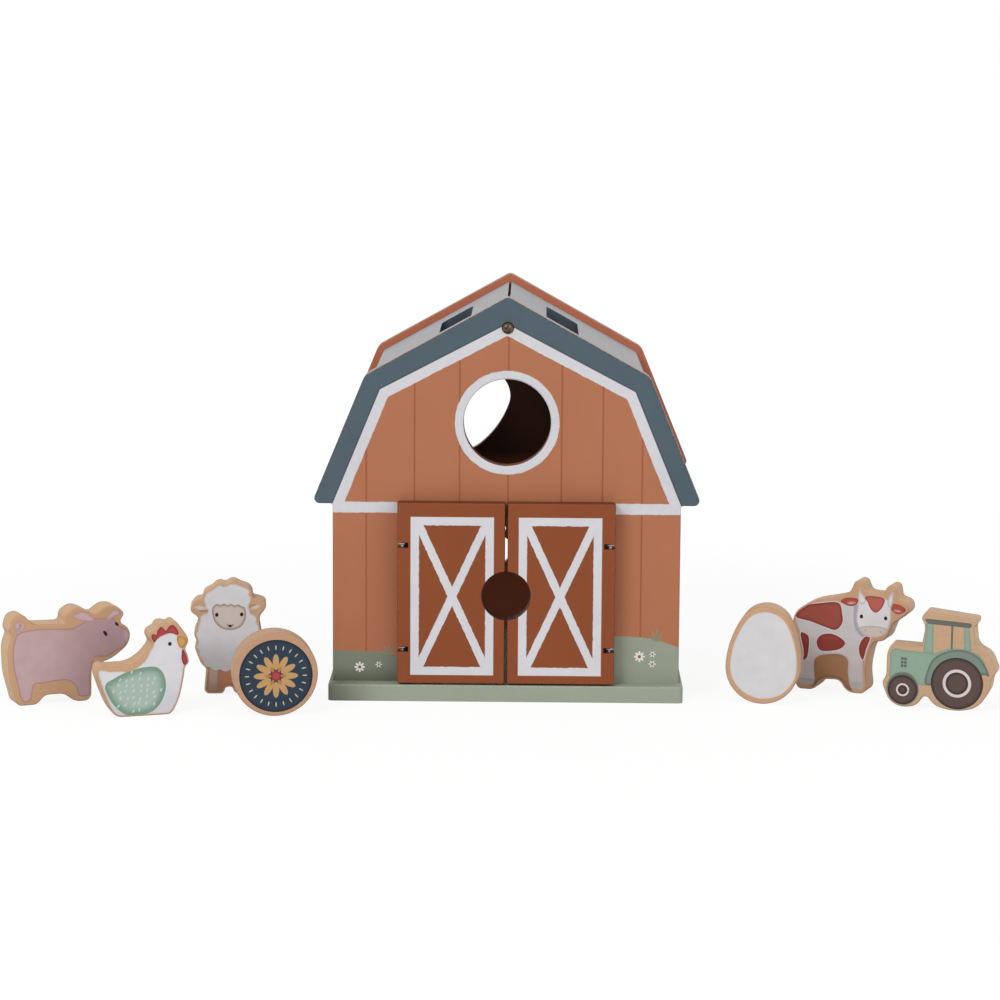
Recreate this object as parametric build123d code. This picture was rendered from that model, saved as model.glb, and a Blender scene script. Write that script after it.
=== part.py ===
from build123d import *

import os
from math import radians, sin, tan

# Wooden barn shape sorter with seven loose blocks.
# Millimetres. X is right, Y goes into the barn, Z is up.
# The origin is the middle of the base board's underside.

# Barn outline seen from the front, with each roof slope's rise
wall_half_width = 95.7
eave_overhang = 11.6
eave_height = 108.4
lower_roof_rise = 71.1
lower_roof_run = 29.2
upper_roof_rise = 43.5
apex_corner = 4.0
kink_corner = 9.0
eave_corner = 3.0
under_eave_corner = 1.5

# Board sizes
barn_depth = 168.0
gable_thickness = 9.0
wall_thickness = 9.0
wall_inset = 3.0
roof_thickness = 6.5
roof_drop = 4.15
groove_depth = 3.0
groove_clearance = 0.1
roof_end_rise = 2.0
edge_radius = 0.9

# Base board
base_side_margin = 2.1
base_overhang = 10.0
base_thickness = 9.2
base_corner = 3.0

# Openings of the front gable
window_radius = 23.9
window_below_kink = 25.7
doorway_half_width = 51.5
doorway_top = 102.0
doorway_corner = 4.0

# Ridge joint and hand slots in the upper roof boards
ridge_gap = 1.5
slot_inner_edge = 21.2
slot_width_across = 18.2
slot_length = 82.0
slot_corner = 4.0
rail_width = 14.0
rail_below_apex = 22.4

# Doors
door_gap = 1.4
door_outer_edge = 59.8
door_clearance_below = 1.0
door_top = 110.6
door_thickness = 9.2
door_wall_gap = 0.8
door_meeting_radius = 1.0
door_front_radius = 2.0
door_back_radius = 2.5
door_end_radius = 0.7
finger_hole_radius = 13.4
finger_hole_height = 59.4

# Door hinges: a steel rod in the door turns in two screw eyes
hinge_setback = 3.0
hinge_heights = (29.2, 87.1)
rod_radius = 1.2
rod_top = 98.0
rod_recess = 0.4
rod_bore_clearance = 0.05
eye_clearance = 0.08
wire_radius = 0.7
eye_screw_depth = 7.5
notch_height = 3.0
notch_clearance = 0.5
eye_top_gap = 0.3

# Fasteners
ridge_screw_below_apex = 17.1
ridge_head_radius = 3.4
ridge_head_height = 2.2
ridge_screw_radius = 1.75
ridge_screw_length = 25.0
base_screw_radius = 1.7
base_head_radius = 3.4
base_head_height = 2.4
base_head_recess = 0.3
base_screw_length = 19.0
side_screw_along = 50.0
screw_hole_clearance = 0.05
screw_end_gap = 1.0
cross_width = 0.9
cross_length = 3.6
cross_depth = 1.2
dowel_radius = 2.5
dowel_in_gable = 6.0
dowel_in_wall = 9.5
dowel_heights = (30.0, 92.0)
dowel_end_gap = 0.5

# Blocks
block_thickness = 15.0
block_edge_radius = 1.0
disc_radius = 22.95
egg_width = 40.5
egg_height = 54.5
egg_tip_radius = 15.0
egg_lean = 3.2

# Cut-outs for the blocks: middle across and lowest point, seen from outside
cut_out_clearance = 1.1
side_cut_out_bottom = 26.0
cow_cut_out_across = -28.0
sheep_cut_out_across = 38.0
tractor_cut_out_across = -31.0
hen_cut_out_across = 36.0
pig_cut_out_across = -33.7
pig_cut_out_bottom = 22.2
egg_cut_out_across = -46.3
egg_cut_out_below_kink = 55.0
egg_cut_out_turn = -50.7

# Heights, widths and faces that follow from the sizes above
eave_half_width = wall_half_width + eave_overhang
kink_half_width = eave_half_width - lower_roof_run
kink_height = eave_height + lower_roof_rise
apex_height = kink_height + upper_roof_rise
base_half_width = wall_half_width + base_side_margin
window_height = kink_height - window_below_kink
ridge_screw_height = apex_height - ridge_screw_below_apex
rail_bottom = apex_height - rail_below_apex
half_depth = barn_depth / 2
front_face = -half_depth
inner_front = front_face + gable_thickness
inner_back = half_depth - gable_thickness
room_length = inner_back - inner_front
wall_outer = wall_half_width - wall_inset
wall_inner = wall_outer - wall_thickness
door_back = front_face - door_wall_gap
door_front = door_back - door_thickness
door_bottom = base_thickness + door_clearance_below
hinge_x = door_outer_edge - hinge_setback
hinge_y = door_back - door_thickness / 2

# Block outlines: corners as (across, up, corner radius), seen from the printed side
pig_outline = (
    (-30, 0, 4), (-18.5, 0, 6), (-14.5, 5, 6), (-3, 5, 9), (2.5, 0, 9), (12, 0, 4),
    (12.5, 20, 4), (23, 21.5, 25), (34, 30, 9.5), (35, 38.5, 6.5), (28.5, 42.5, 2.2),
    (31.5, 47.5, 2), (27, 52, 7.5), (21, 52.5, 7.5), (14, 47.5, 3.5), (9.5, 51, 16),
    (3.5, 53, 6), (-2.5, 49, 4.5), (-2.5, 44, 2.2), (-20.5, 44.5, 9), (-26, 51, 4.5),
    (-32, 49.5, 5), (-34, 42.5, 4), (-32.5, 39.5, 3.8), (-35, 32.5, 18), (-34.5, 17.5, 40),
    (-32, 8, 40),
)
hen_outline = (
    (-15, 0, 6.5), (15.5, 0, 5), (20, 8.5, 40), (22.5, 21, 40), (23, 25.5, 4.5),
    (25.5, 28, 3.1), (24.5, 32.5, 13), (23, 35.5, 3), (25.5, 40, 4), (23.5, 44, 25),
    (18, 51.5, 2), (15, 49.5, 3.1), (12, 50.5, 5.5), (9, 50, 2.3), (8, 47.5, 3.4),
    (4, 45.5, 2.8), (3.5, 42.5, 4), (5.5, 39, 3), (0.5, 32.5, 22), (-7, 28, 15), (-19, 28, 18),
    (-24.5, 29.5, 2.7), (-25.5, 24, 9), (-22.5, 15, 40), (-19, 6, 32),
)
sheep_outline = (
    (-14, 0, 3), (-3, 0, 2.5), (-2, 3.5, 1.9), (1.5, 4, 1.9), (3.5, 0, 2.5), (12.5, 0, 3),
    (12, 13.5, 5.5), (15, 17, 18), (17.5, 22, 7), (17, 26.5, 7), (18.5, 30, 7), (18, 35.5, 34),
    (17, 40, 13), (17.5, 44.5, 4.5), (20, 47, 7), (21.5, 51.5, 3), (16.5, 53.5, 15),
    (13.5, 54, 1.5), (13.5, 57, 5), (11.5, 60, 5), (6, 62, 22), (2.5, 64, 3.2), (-1.5, 61.5, 3),
    (-5.5, 63, 4), (-9, 59.5, 11.5), (-13.5, 57.5, 4.5), (-14.5, 53.5, 1.5), (-17.5, 53.5, 3.7),
    (-20.5, 50, 4.5), (-21.5, 47, 3), (-16.5, 43, 2.5), (-17.5, 38.5, 17), (-19.5, 34.5, 5),
    (-17.5, 29, 2.9), (-19, 26.5, 2.9), (-15.5, 17, 7), (-12.5, 14.5, 3.5),
)
cow_outline = (
    (-30.5, 0, 3.5), (-20, 0, 6.5), (-16, 6.5, 7), (-5.5, 7, 5), (-1.5, 0, 8), (11, 0, 4.5),
    (9, 14, 33), (11.5, 26, 16), (14, 30.5, 3), (20.5, 30.5, 6.3), (24.5, 41.5, 5),
    (28, 43.5, 17), (33.5, 48.5, 4), (32.5, 53.5, 4), (26.5, 55.5, 2.5), (25.5, 62, 2.6),
    (21.5, 63, 2.6), (18, 57, 3), (9, 57.5, 4), (6.5, 63.5, 3), (2.5, 64.5, 2.8), (-1, 56, 8.5),
    (-9.5, 53.5, 40), (-23.5, 50.5, 27), (-33.5, 43, 11), (-33.5, 31.5, 40), (-33, 12.5, 40),
)
tractor_outline = (
    (-20.5, 0, 11.5), (-11.5, 1.5, 8), (-7.5, 9.5, 2.6), (-2.5, 2, 10), (10, -0.5, 26),
    (22, 2.5, 13), (28, 12.5, 13), (28.5, 19, 7.5), (31.5, 22.5, 3), (27.5, 32.5, 10),
    (19.5, 36, 7), (18.5, 47, 2.9), (20.5, 49, 2.5), (20, 51.5, 1.5), (-8, 54.5, 2.5),
    (-10.5, 50.5, 2), (-8, 46.5, 8.5), (-10, 34.5, 1.6), (-26.5, 35, 2), (-29, 30.5, 14),
    (-29, 17.5, 7.5), (-31.5, 13.5, 4.5), (-27.5, 3.5, 9.5),
)

# Where each block stands: front face middle in X and Y, and its turn about Z
block_places = {
    "pig_block": (-238.5, -103.9, 24.5),
    "hen_block": (-194.3, -137.5, 18.5),
    "sheep_block": (-153.8, -78.3, 5.0),
    "disc_block": (-123.3, -135.0, 10.0),
    "egg_block": (141.0, -93.5, -11.0),
    "cow_block": (192.1, -61.9, -21.5),
    "tractor_block": (236.9, -104.3, -16.0),
}


def rounded_outline(corners):
    """Face inside straight sides whose corners are (across, up, radius)."""
    points = [Vector(across, up) for across, up, _ in corners]
    count = len(points)
    turns = []
    for index, here in enumerate(points):
        radius = corners[index][2]
        before = (points[index - 1] - here).normalized()
        after = (points[(index + 1) % count] - here).normalized()
        half_angle = radians(before.get_angle(after) / 2)
        reach = radius / tan(half_angle)
        inward = (before + after).normalized()
        middle = here + inward * (radius / sin(half_angle) - radius)
        turns.append((here + before * reach, middle, here + after * reach))
    edges = []
    for index, (start, middle, end) in enumerate(turns):
        if corners[index][2] > 0:
            edges.append(ThreePointArc(start, middle, end))
        edges.append(Line(end, turns[(index + 1) % count][0]))
    return make_face(edges)


def upright_board(face, back, thickness):
    """Board standing across the barn, from the given back towards the front."""
    plane = Plane((0, back, 0), x_dir=(1, 0, 0), z_dir=(0, -1, 0))
    return extrude(plane * face, amount=thickness)


def side_board(face, side, inner, thickness):
    """Board standing along one side of the barn, its face drawn as seen from outside."""
    plane = Plane((side * inner, 0, 0), x_dir=(0, side, 0), z_dir=(side, 0, 0))
    return extrude(plane * face, amount=thickness)


def round_rod(start, direction, radius, length):
    """Cylinder from a point along a direction."""
    return Plane(start, z_dir=direction) * extrude(Circle(radius), amount=length)


def egg_face():
    """Egg standing on its round end: bottom, side and tip arcs meet smoothly."""
    base = egg_width / 2
    narrowing = base - egg_tip_radius
    rise = egg_height - base - egg_tip_radius
    reach = (rise**2 - narrowing**2) / (2 * narrowing)
    lean = Vector(reach, rise).normalized()
    touch = Vector(0, egg_height - egg_tip_radius) + lean * egg_tip_radius
    side = Vector(-reach, base) + (Vector(1, 0) + lean).normalized() * (base + reach)
    return make_face(
        [
            ThreePointArc((-base, base), (0, 0), (base, base)),
            ThreePointArc((base, base), side, touch),
            ThreePointArc(touch, (0, egg_height), (-touch.X, touch.Y)),
            ThreePointArc((-touch.X, touch.Y), (-side.X, side.Y), (-base, base)),
        ]
    )


def disc_face():
    """Circle standing on the floor."""
    return Pos(0, disc_radius) * Circle(disc_radius)


def standing(face):
    """Face moved straight up or down so that its lowest point lies on the floor."""
    return Pos(0, -face.bounding_box().min.Y) * face


block_faces = {
    "pig_block": rounded_outline(pig_outline),
    "hen_block": rounded_outline(hen_outline),
    "sheep_block": rounded_outline(sheep_outline),
    "disc_block": disc_face(),
    "egg_block": egg_face(),
    "cow_block": rounded_outline(cow_outline),
    "tractor_block": standing(rounded_outline(tractor_outline)),
}


def hole_for(block, across, up, turn=0):
    """Block outline grown by the clearance, with the block's lowest middle point moved to a place."""
    grown = offset(block_faces[block], amount=cut_out_clearance)
    return Pos(across, up) * Rot(0, 0, turn) * grown


def make_block(name):
    """Loose block with rounded edges, turned and stood on the floor."""
    across, along, turn = block_places[name]
    face = block_faces[name]
    if name == "egg_block":
        face = Pos(0, egg_width / 2) * Rot(0, 0, -egg_lean) * Pos(0, -egg_width / 2) * face
    block = upright_board(face, block_thickness, block_thickness)
    rims = block.edges().filter_by_position(Axis.Y, 0, 0)
    rims += block.edges().filter_by_position(Axis.Y, block_thickness, block_thickness)
    block = fillet(rims, block_edge_radius)
    return Pos(across, along, 0) * Rot(0, 0, turn) * block


def gable_face():
    """Whole gable outline before any openings."""
    half = (
        (wall_half_width, base_thickness, 0),
        (wall_half_width, eave_height, under_eave_corner),
        (eave_half_width, eave_height, eave_corner),
        (kink_half_width, kink_height, kink_corner),
    )
    mirrored = [(-across, up, radius) for across, up, radius in reversed(half)]
    return rounded_outline([*half, (0, apex_height, apex_corner), *mirrored])


def outline_point(drop, place):
    """Corner of the roof profile, moved square to the boards by a drop.

    place is ridge, kink or eave.
    """
    upper = Vector(kink_half_width, kink_height - apex_height).normalized()
    lower = Vector(eave_half_width - kink_half_width, eave_height - kink_height).normalized()
    upper_in = Vector(upper.Y, -upper.X)
    lower_in = Vector(lower.Y, -lower.X)
    if place == "ridge":
        across = ridge_gap / 2
        up = apex_height + (across * upper.Y - drop) / upper.X
        return Vector(across, up)
    if place == "kink":
        share = drop / (1 + upper_in.dot(lower_in))
        return Vector(kink_half_width, kink_height) + (upper_in + lower_in) * share
    start = Vector(kink_half_width, kink_height) + lower_in * drop
    down = (eave_height + roof_end_rise - start.Y) / lower.Y
    return start + lower * down


def mirrored_if(side, points):
    """Points with across turned over for the left side."""
    return [(side * point.X, point.Y) for point in points]


def roof_section(side, upper, margin=0.0):
    """Cross-section of one roof board, grown by a margin."""
    outer = roof_drop
    inner = roof_drop + roof_thickness
    ends = ("ridge", "kink") if upper else ("kink", "eave")
    points = [
        outline_point(outer, ends[0]),
        outline_point(outer, ends[1]),
        outline_point(inner, ends[1]),
        outline_point(inner, ends[0]),
    ]
    section = make_face(Polyline(*mirrored_if(side, points), close=True))
    if margin:
        section = offset(section, amount=margin, kind=Kind.INTERSECTION)
    return section


def side_wall_section(side):
    """Cross-section of a side wall, its top cut to lie under the lower roof board."""
    inner_drop = roof_drop + roof_thickness
    high = outline_point(inner_drop, "kink")
    low = outline_point(inner_drop, "eave")
    slope = (low.Y - high.Y) / (low.X - high.X)
    outer_top = high.Y + slope * (wall_outer - high.X)
    inner_top = high.Y + slope * (wall_inner - high.X)
    points = [
        Vector(wall_outer, base_thickness),
        Vector(wall_outer, outer_top),
        Vector(wall_inner, inner_top),
        Vector(wall_inner, base_thickness),
    ]
    return make_face(Polyline(*mirrored_if(side, points), close=True))


def rail_section():
    """Ridge rail: flat bottom and sides, top cut to both upper roof boards."""
    drop = roof_drop + roof_thickness
    ridge = outline_point(drop, "ridge")
    kink = outline_point(drop, "kink")
    slope = (kink.Y - ridge.Y) / (kink.X - ridge.X)
    half = rail_width / 2
    shoulder = ridge.Y + slope * (half - ridge.X)
    points = [
        (0, ridge.Y - slope * ridge.X),
        (half, shoulder),
        (half, rail_bottom),
        (-half, rail_bottom),
        (-half, shoulder),
    ]
    return make_face(Polyline(*points, close=True))


def wall_dowel_places():
    """Middle of each dowel's end face at the gable side, and its direction."""
    places = []
    across = (wall_outer + wall_inner) / 2
    for side in (-1, 1):
        for up in dowel_heights:
            places.append(((side * across, inner_front - dowel_in_gable, up), (0, 1, 0)))
            places.append(((side * across, inner_back + dowel_in_gable, up), (0, -1, 0)))
    return places


def base_screw_places():
    """X and Y of the screws that come up through the base board."""
    wall_across = (wall_outer + wall_inner) / 2
    leg_across = (wall_half_width + doorway_half_width) / 2
    front = front_face + gable_thickness / 2
    places = []
    for side in (-1, 1):
        places += [(side * wall_across, -side_screw_along), (side * wall_across, side_screw_along)]
        places += [(side * leg_across, front), (side * leg_across, -front)]
    return places


def drill_dowels(board):
    """Board less the eight wall dowels' holes."""
    length = dowel_in_gable + dowel_in_wall + dowel_end_gap
    for start, direction in wall_dowel_places():
        board -= round_rod(start, direction, dowel_radius + screw_hole_clearance, length)
    return board


def drill_base_screws(board):
    """Board less the holes for the screws from below."""
    radius = base_screw_radius + screw_hole_clearance
    top = base_head_recess + base_screw_length + screw_end_gap
    for across, along in base_screw_places():
        board -= round_rod((across, along, 0), (0, 0, 1), radius, top)
    return board


def drill_ridge_screws(board):
    """Board less the holes for the two ridge screws."""
    radius = ridge_screw_radius + screw_hole_clearance
    for face, inward in ((front_face, 1), (half_depth, -1)):
        start = (0, face, ridge_screw_height)
        board -= round_rod(start, (0, inward, 0), radius, ridge_screw_length + screw_end_gap)
    return board


def cut_roof_grooves(gable, mouth, inward):
    """Gable less the groove that takes the ends of the four roof boards."""
    for side in (-1, 1):
        for upper in (True, False):
            section = roof_section(side, upper, groove_clearance)
            back = max(mouth, mouth + inward * groove_depth)
            gable -= upright_board(section, back, groove_depth)
    return gable


def round_gable_edges(gable, *faces):
    """Round the outline and openings on the given faces, but not along the base."""
    for place in faces:
        rims = gable.edges().filter_by_position(Axis.Y, place, place)
        rims = [rim for rim in rims if rim.center().Z > base_thickness + 0.01]
        gable = fillet(rims, edge_radius)
    return gable


def make_front_gable():
    """Front wall with the round window, the doorway and the screw-eye holes."""
    face = gable_face()
    face -= Pos(0, window_height) * Circle(window_radius)
    height = doorway_top - base_thickness
    doorway = (
        (-doorway_half_width, -height, 0),
        (doorway_half_width, -height, 0),
        (doorway_half_width, doorway_top, doorway_corner),
        (-doorway_half_width, doorway_top, doorway_corner),
    )
    face -= rounded_outline(doorway)
    gable = upright_board(face, inner_front, gable_thickness)
    gable = round_gable_edges(gable, front_face)
    gable = cut_roof_grooves(gable, inner_front, -1)
    for side in (-1, 1):
        for up in hinge_heights:
            start = (side * hinge_x, front_face, eye_middle(up))
            radius = wire_radius + screw_hole_clearance
            gable -= round_rod(start, (0, 1, 0), radius, eye_screw_depth)
    return drill_base_screws(drill_ridge_screws(drill_dowels(gable)))


def make_back_gable():
    """Back wall with the egg and pig cut-outs."""
    face = gable_face()
    egg_bottom = kink_height - egg_cut_out_below_kink
    face -= hole_for("egg_block", egg_cut_out_across, egg_bottom, egg_cut_out_turn)
    face -= hole_for("pig_block", pig_cut_out_across, pig_cut_out_bottom)
    gable = upright_board(face, half_depth, gable_thickness)
    gable = round_gable_edges(gable, half_depth)
    gable = cut_roof_grooves(gable, inner_back, 1)
    return drill_base_screws(drill_ridge_screws(drill_dowels(gable)))


def make_side_wall(side, cut_outs):
    """Side wall with its cut-outs, given as (block, across) seen from outside."""
    wall = upright_board(side_wall_section(side), inner_back, room_length)
    for block, across in cut_outs:
        hole = hole_for(block, across, side_cut_out_bottom)
        wall -= side_board(hole, side, wall_inner, wall_thickness)
    return drill_base_screws(drill_dowels(wall))


def make_lower_roof(side):
    """Steep lower roof board."""
    length = room_length + 2 * groove_depth
    return upright_board(roof_section(side, False), inner_back + groove_depth, length)


def make_upper_roof(side):
    """Upper roof board with its hand slot."""
    length = room_length + 2 * groove_depth
    board = upright_board(roof_section(side, True), inner_back + groove_depth, length)
    across = side * (slot_inner_edge + slot_width_across / 2)
    opening = RectangleRounded(slot_width_across, slot_length, slot_corner)
    return board - Pos(across, 0, eave_height) * extrude(opening, amount=apex_height - eave_height)


def make_ridge_rail():
    """Rail under the ridge, screwed through both gables."""
    rail = upright_board(rail_section(), inner_back, room_length)
    return drill_ridge_screws(rail)


def cross_recess(depth_plane):
    """Crossed slots that a screwdriver fits, cut down from a plane."""
    slots = Rectangle(cross_length, cross_width) + Rectangle(cross_width, cross_length)
    return depth_plane * extrude(slots, amount=-cross_depth)


def ridge_screw(face, outward):
    """Dome-headed screw through a gable into the ridge rail."""
    centre = (0, face, ridge_screw_height)
    crown = (0, face + outward * ridge_head_height, ridge_screw_height)
    plane = Plane(centre, z_dir=(0, outward, 0))
    sphere_radius = (ridge_head_radius**2 + ridge_head_height**2) / (2 * ridge_head_height)
    dome = Pos(0, 0, ridge_head_height - sphere_radius) * Sphere(sphere_radius)
    cap = extrude(Circle(ridge_head_radius), amount=ridge_head_height)
    head = plane * (dome & cap)
    shank = round_rod(centre, (0, -outward, 0), ridge_screw_radius, ridge_screw_length)
    return (head + shank) - cross_recess(Plane(crown, z_dir=(0, outward, 0)))


def base_screw(across, along):
    """Countersunk screw that comes up through the base board."""
    bottom = base_head_recess
    head = Pos(across, along, bottom + base_head_height / 2) * Cone(
        base_head_radius, base_screw_radius, base_head_height
    )
    shank = round_rod((across, along, bottom), (0, 0, 1), base_screw_radius, base_screw_length)
    recess = cross_recess(Plane((across, along, bottom), z_dir=(0, 0, -1)))
    return (head + shank) - recess


def make_base_plate():
    """Base board with rounded corners and countersunk holes from below."""
    width = 2 * base_half_width
    depth = barn_depth + 2 * base_overhang
    plate = extrude(RectangleRounded(width, depth, base_corner), amount=base_thickness)
    top_rim = plate.edges().filter_by_position(Axis.Z, base_thickness, base_thickness)
    plate = fillet(top_rim, edge_radius)
    plate = drill_base_screws(plate)
    mouth = base_head_radius + screw_hole_clearance
    throat = base_screw_radius + screw_hole_clearance
    for across, along in base_screw_places():
        sink = Cone(mouth, throat, base_head_height)
        plate -= Pos(across, along, base_head_recess + base_head_height / 2) * sink
        plate -= round_rod((across, along, 0), (0, 0, 1), mouth, base_head_recess)
    return plate


def eye_middle(up):
    """Height of an eye's middle, so its wire sits just under the notch's top."""
    return up + notch_height / 2 - eye_top_gap - wire_radius


def screw_eye(side, up):
    """Wire ring round the hinge rod, with a shank screwed into the front gable."""
    ring_radius = rod_radius + eye_clearance + wire_radius
    middle = (side * hinge_x, hinge_y, eye_middle(up))
    ring = Pos(*middle) * Torus(ring_radius, wire_radius)
    start = (side * hinge_x, hinge_y + ring_radius, eye_middle(up))
    length = front_face + eye_screw_depth - start[1]
    return ring + round_rod(start, (0, 1, 0), wire_radius, length)


def make_door(side):
    """Plank door with half of the finger hole, hinge notches and the rod's bore."""
    inner = door_gap / 2
    plan = (
        (side * inner, door_front, door_meeting_radius),
        (side * door_outer_edge, door_front, door_front_radius),
        (side * door_outer_edge, door_back, door_back_radius),
        (side * inner, door_back, door_meeting_radius),
    )
    height = door_top - door_bottom
    door = Pos(0, 0, door_bottom) * extrude(rounded_outline(plan), amount=height)
    ends = door.edges().filter_by_position(Axis.Z, door_bottom, door_bottom)
    ends += door.edges().filter_by_position(Axis.Z, door_top, door_top)
    door = fillet(ends, door_end_radius)
    hole_start = (0, door_front - 1, finger_hole_height)
    door -= round_rod(hole_start, (0, 1, 0), finger_hole_radius, door_thickness + 2)
    ring_reach = rod_radius + eye_clearance + 2 * wire_radius + notch_clearance
    notch_inner = hinge_x - ring_reach
    notch_width = door_outer_edge - notch_inner + 1
    for up in hinge_heights:
        across = side * (notch_inner + notch_width / 2)
        door -= Pos(across, hinge_y, up) * Box(notch_width, door_thickness + 2, notch_height)
    bore = (side * hinge_x, hinge_y, door_bottom - 1)
    return door - round_rod(bore, (0, 0, 1), rod_radius + rod_bore_clearance, rod_top - door_bottom + 1)


def make_hinge_rod(side):
    """Steel rod held in the door, passing through both screw eyes."""
    start = (side * hinge_x, hinge_y, door_bottom + rod_recess)
    return round_rod(start, (0, 0, 1), rod_radius, rod_top - start[2])


left_cut_outs = (("cow_block", cow_cut_out_across), ("sheep_block", sheep_cut_out_across))
right_cut_outs = (("tractor_block", tractor_cut_out_across), ("hen_block", hen_cut_out_across))

nodes = {
    "base_plate": make_base_plate(),
    "front_gable": make_front_gable(),
    "back_gable": make_back_gable(),
    "left_side_wall": make_side_wall(-1, left_cut_outs),
    "right_side_wall": make_side_wall(1, right_cut_outs),
    "left_lower_roof": make_lower_roof(-1),
    "right_lower_roof": make_lower_roof(1),
    "left_upper_roof": make_upper_roof(-1),
    "right_upper_roof": make_upper_roof(1),
    "ridge_rail": make_ridge_rail(),
    "ridge_screws": Compound([ridge_screw(front_face, -1), ridge_screw(half_depth, 1)]),
    "base_screws": Compound([base_screw(*place) for place in base_screw_places()]),
    "wall_dowels": Compound(
        [
            round_rod(start, direction, dowel_radius, dowel_in_gable + dowel_in_wall)
            for start, direction in wall_dowel_places()
        ]
    ),
    "screw_eyes": Compound([screw_eye(side, up) for side in (-1, 1) for up in hinge_heights]),
    "left_door": make_door(-1),
    "left_hinge_rod": make_hinge_rod(-1),
    "right_door": make_door(1),
    "right_hinge_rod": make_hinge_rod(1),
}
for block_name in block_places:
    nodes[block_name] = make_block(block_name)

os.makedirs("parts", exist_ok=True)
for node_name, shape in nodes.items():
    export_step(shape, f"parts/{node_name}.step")
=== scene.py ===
import bmesh
import bpy
import math
import numpy as np
from mathutils import Matrix, Vector
from mathutils.geometry import delaunay_2d_cdt


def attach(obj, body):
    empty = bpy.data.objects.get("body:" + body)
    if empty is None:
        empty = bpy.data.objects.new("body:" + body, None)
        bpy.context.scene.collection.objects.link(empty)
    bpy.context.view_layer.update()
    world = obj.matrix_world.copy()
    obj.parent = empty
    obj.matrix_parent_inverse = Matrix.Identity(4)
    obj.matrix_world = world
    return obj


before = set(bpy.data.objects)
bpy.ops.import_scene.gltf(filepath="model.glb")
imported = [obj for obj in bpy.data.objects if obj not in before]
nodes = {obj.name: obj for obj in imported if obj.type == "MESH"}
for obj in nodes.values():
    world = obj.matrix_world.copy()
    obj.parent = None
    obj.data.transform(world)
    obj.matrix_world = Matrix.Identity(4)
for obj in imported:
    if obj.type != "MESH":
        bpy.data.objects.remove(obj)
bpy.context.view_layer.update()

# The studio: a white table and white surroundings, as toys are photographed.
# The camera stands 1.84 m in front of the barn's middle, a little to its right
# and above it, and looks slightly down through a long lens.
camera_place = Vector((0.0146, -1.8439, 0.3793))
camera_pitch = math.radians(8.665)
camera_yaw = math.radians(-0.596)
camera_roll = math.radians(0.369)

forward = Vector((
    math.sin(camera_yaw) * math.cos(camera_pitch),
    math.cos(camera_yaw) * math.cos(camera_pitch),
    -math.sin(camera_pitch),
))
level_right = Vector((math.cos(camera_yaw), -math.sin(camera_yaw), 0.0))
level_up = level_right.cross(forward)
right = level_right * math.cos(camera_roll) + level_up * math.sin(camera_roll)
up = level_up * math.cos(camera_roll) - level_right * math.sin(camera_roll)

camera_data = bpy.data.cameras.new("photo_camera")
camera_data.lens = 116.73
camera_data.sensor_width = 36.0
camera_data.clip_start = 0.1
camera_data.clip_end = 50.0
camera = bpy.data.objects.new("photo_camera", camera_data)
camera.matrix_world = Matrix.Translation(camera_place) @ Matrix((right, up, -forward)).transposed().to_4x4()
bpy.context.collection.objects.link(camera)
bpy.context.scene.camera = camera
bpy.context.scene.view_settings.view_transform = "Standard"


class Wire:
    """What a node puts out. Numbers among them add and multiply as plain numbers do."""

    def __init__(self, socket):
        self.socket = socket
        self.tree = socket.id_data

    def __add__(self, other):
        return calc("ADD", self, other)

    def __sub__(self, other):
        return calc("SUBTRACT", self, other)

    def __rsub__(self, other):
        return calc("SUBTRACT", other, self)

    def __mul__(self, other):
        return calc("MULTIPLY", self, other)

    def __truediv__(self, other):
        return calc("DIVIDE", self, other)

    def __rtruediv__(self, other):
        return calc("DIVIDE", other, self)

    def __abs__(self):
        return calc("ABSOLUTE", self)


class Outputs:
    """The wires that leave a node, by name or number."""

    def __init__(self, node):
        self.node = node

    def __getitem__(self, key):
        return Wire(self.node.outputs[key])


def add(tree, kind, inputs=None, **settings):
    """Outputs of a new node. Inputs that are wires are linked, others are set."""
    node = tree.nodes.new(kind)
    for name, value in settings.items():
        setattr(node, name, value)
    for key, value in (inputs or {}).items():
        if isinstance(value, Wire):
            tree.links.new(value.socket, node.inputs[key])
        else:
            node.inputs[key].default_value = value
    return Outputs(node)


def tree_of(values):
    """Tree of the first wire among the values."""
    return next(value.tree for value in values if isinstance(value, Wire))


def calc(operation, *values):
    """Result of a maths node."""
    return add(tree_of(values), "ShaderNodeMath", dict(enumerate(values)), operation=operation)[0]


def highest(first, *others):
    """The greatest of the values."""
    for other in others:
        first = calc("MAXIMUM", first, other)
    return first


def linear(red, green, blue):
    """Scene-linear colour of an sRGB colour given in 0 to 255."""
    parts = [value / 255 for value in (red, green, blue)]
    curved = [v / 12.92 if v <= 0.04045 else ((v + 0.055) / 1.055) ** 2.4 for v in parts]
    return (*curved, 1.0)


def shown_rays(tree):
    """1 for rays that the camera sees, also by way of metal or glass."""
    rays = add(tree, "ShaderNodeLightPath")
    return highest(rays["Is Camera Ray"], rays["Is Glossy Ray"], rays["Is Transmission Ray"])


white = (1.0, 1.0, 1.0, 1.0)
world = bpy.data.worlds.new("white_room")
bpy.context.scene.world = world
world.use_nodes = True
room = world.node_tree
room.nodes.clear()
room_light = add(room, "ShaderNodeBackground", {"Color": (1.0, 0.99, 0.975, 1.0), "Strength": 0.56})[0]
room_seen = add(room, "ShaderNodeBackground", {"Color": white, "Strength": 1.0})[0]
room_mix = add(room, "ShaderNodeMixShader", {0: shown_rays(room), 1: room_light, 2: room_seen})[0]
add(room, "ShaderNodeOutputWorld", {"Surface": room_mix})

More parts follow.
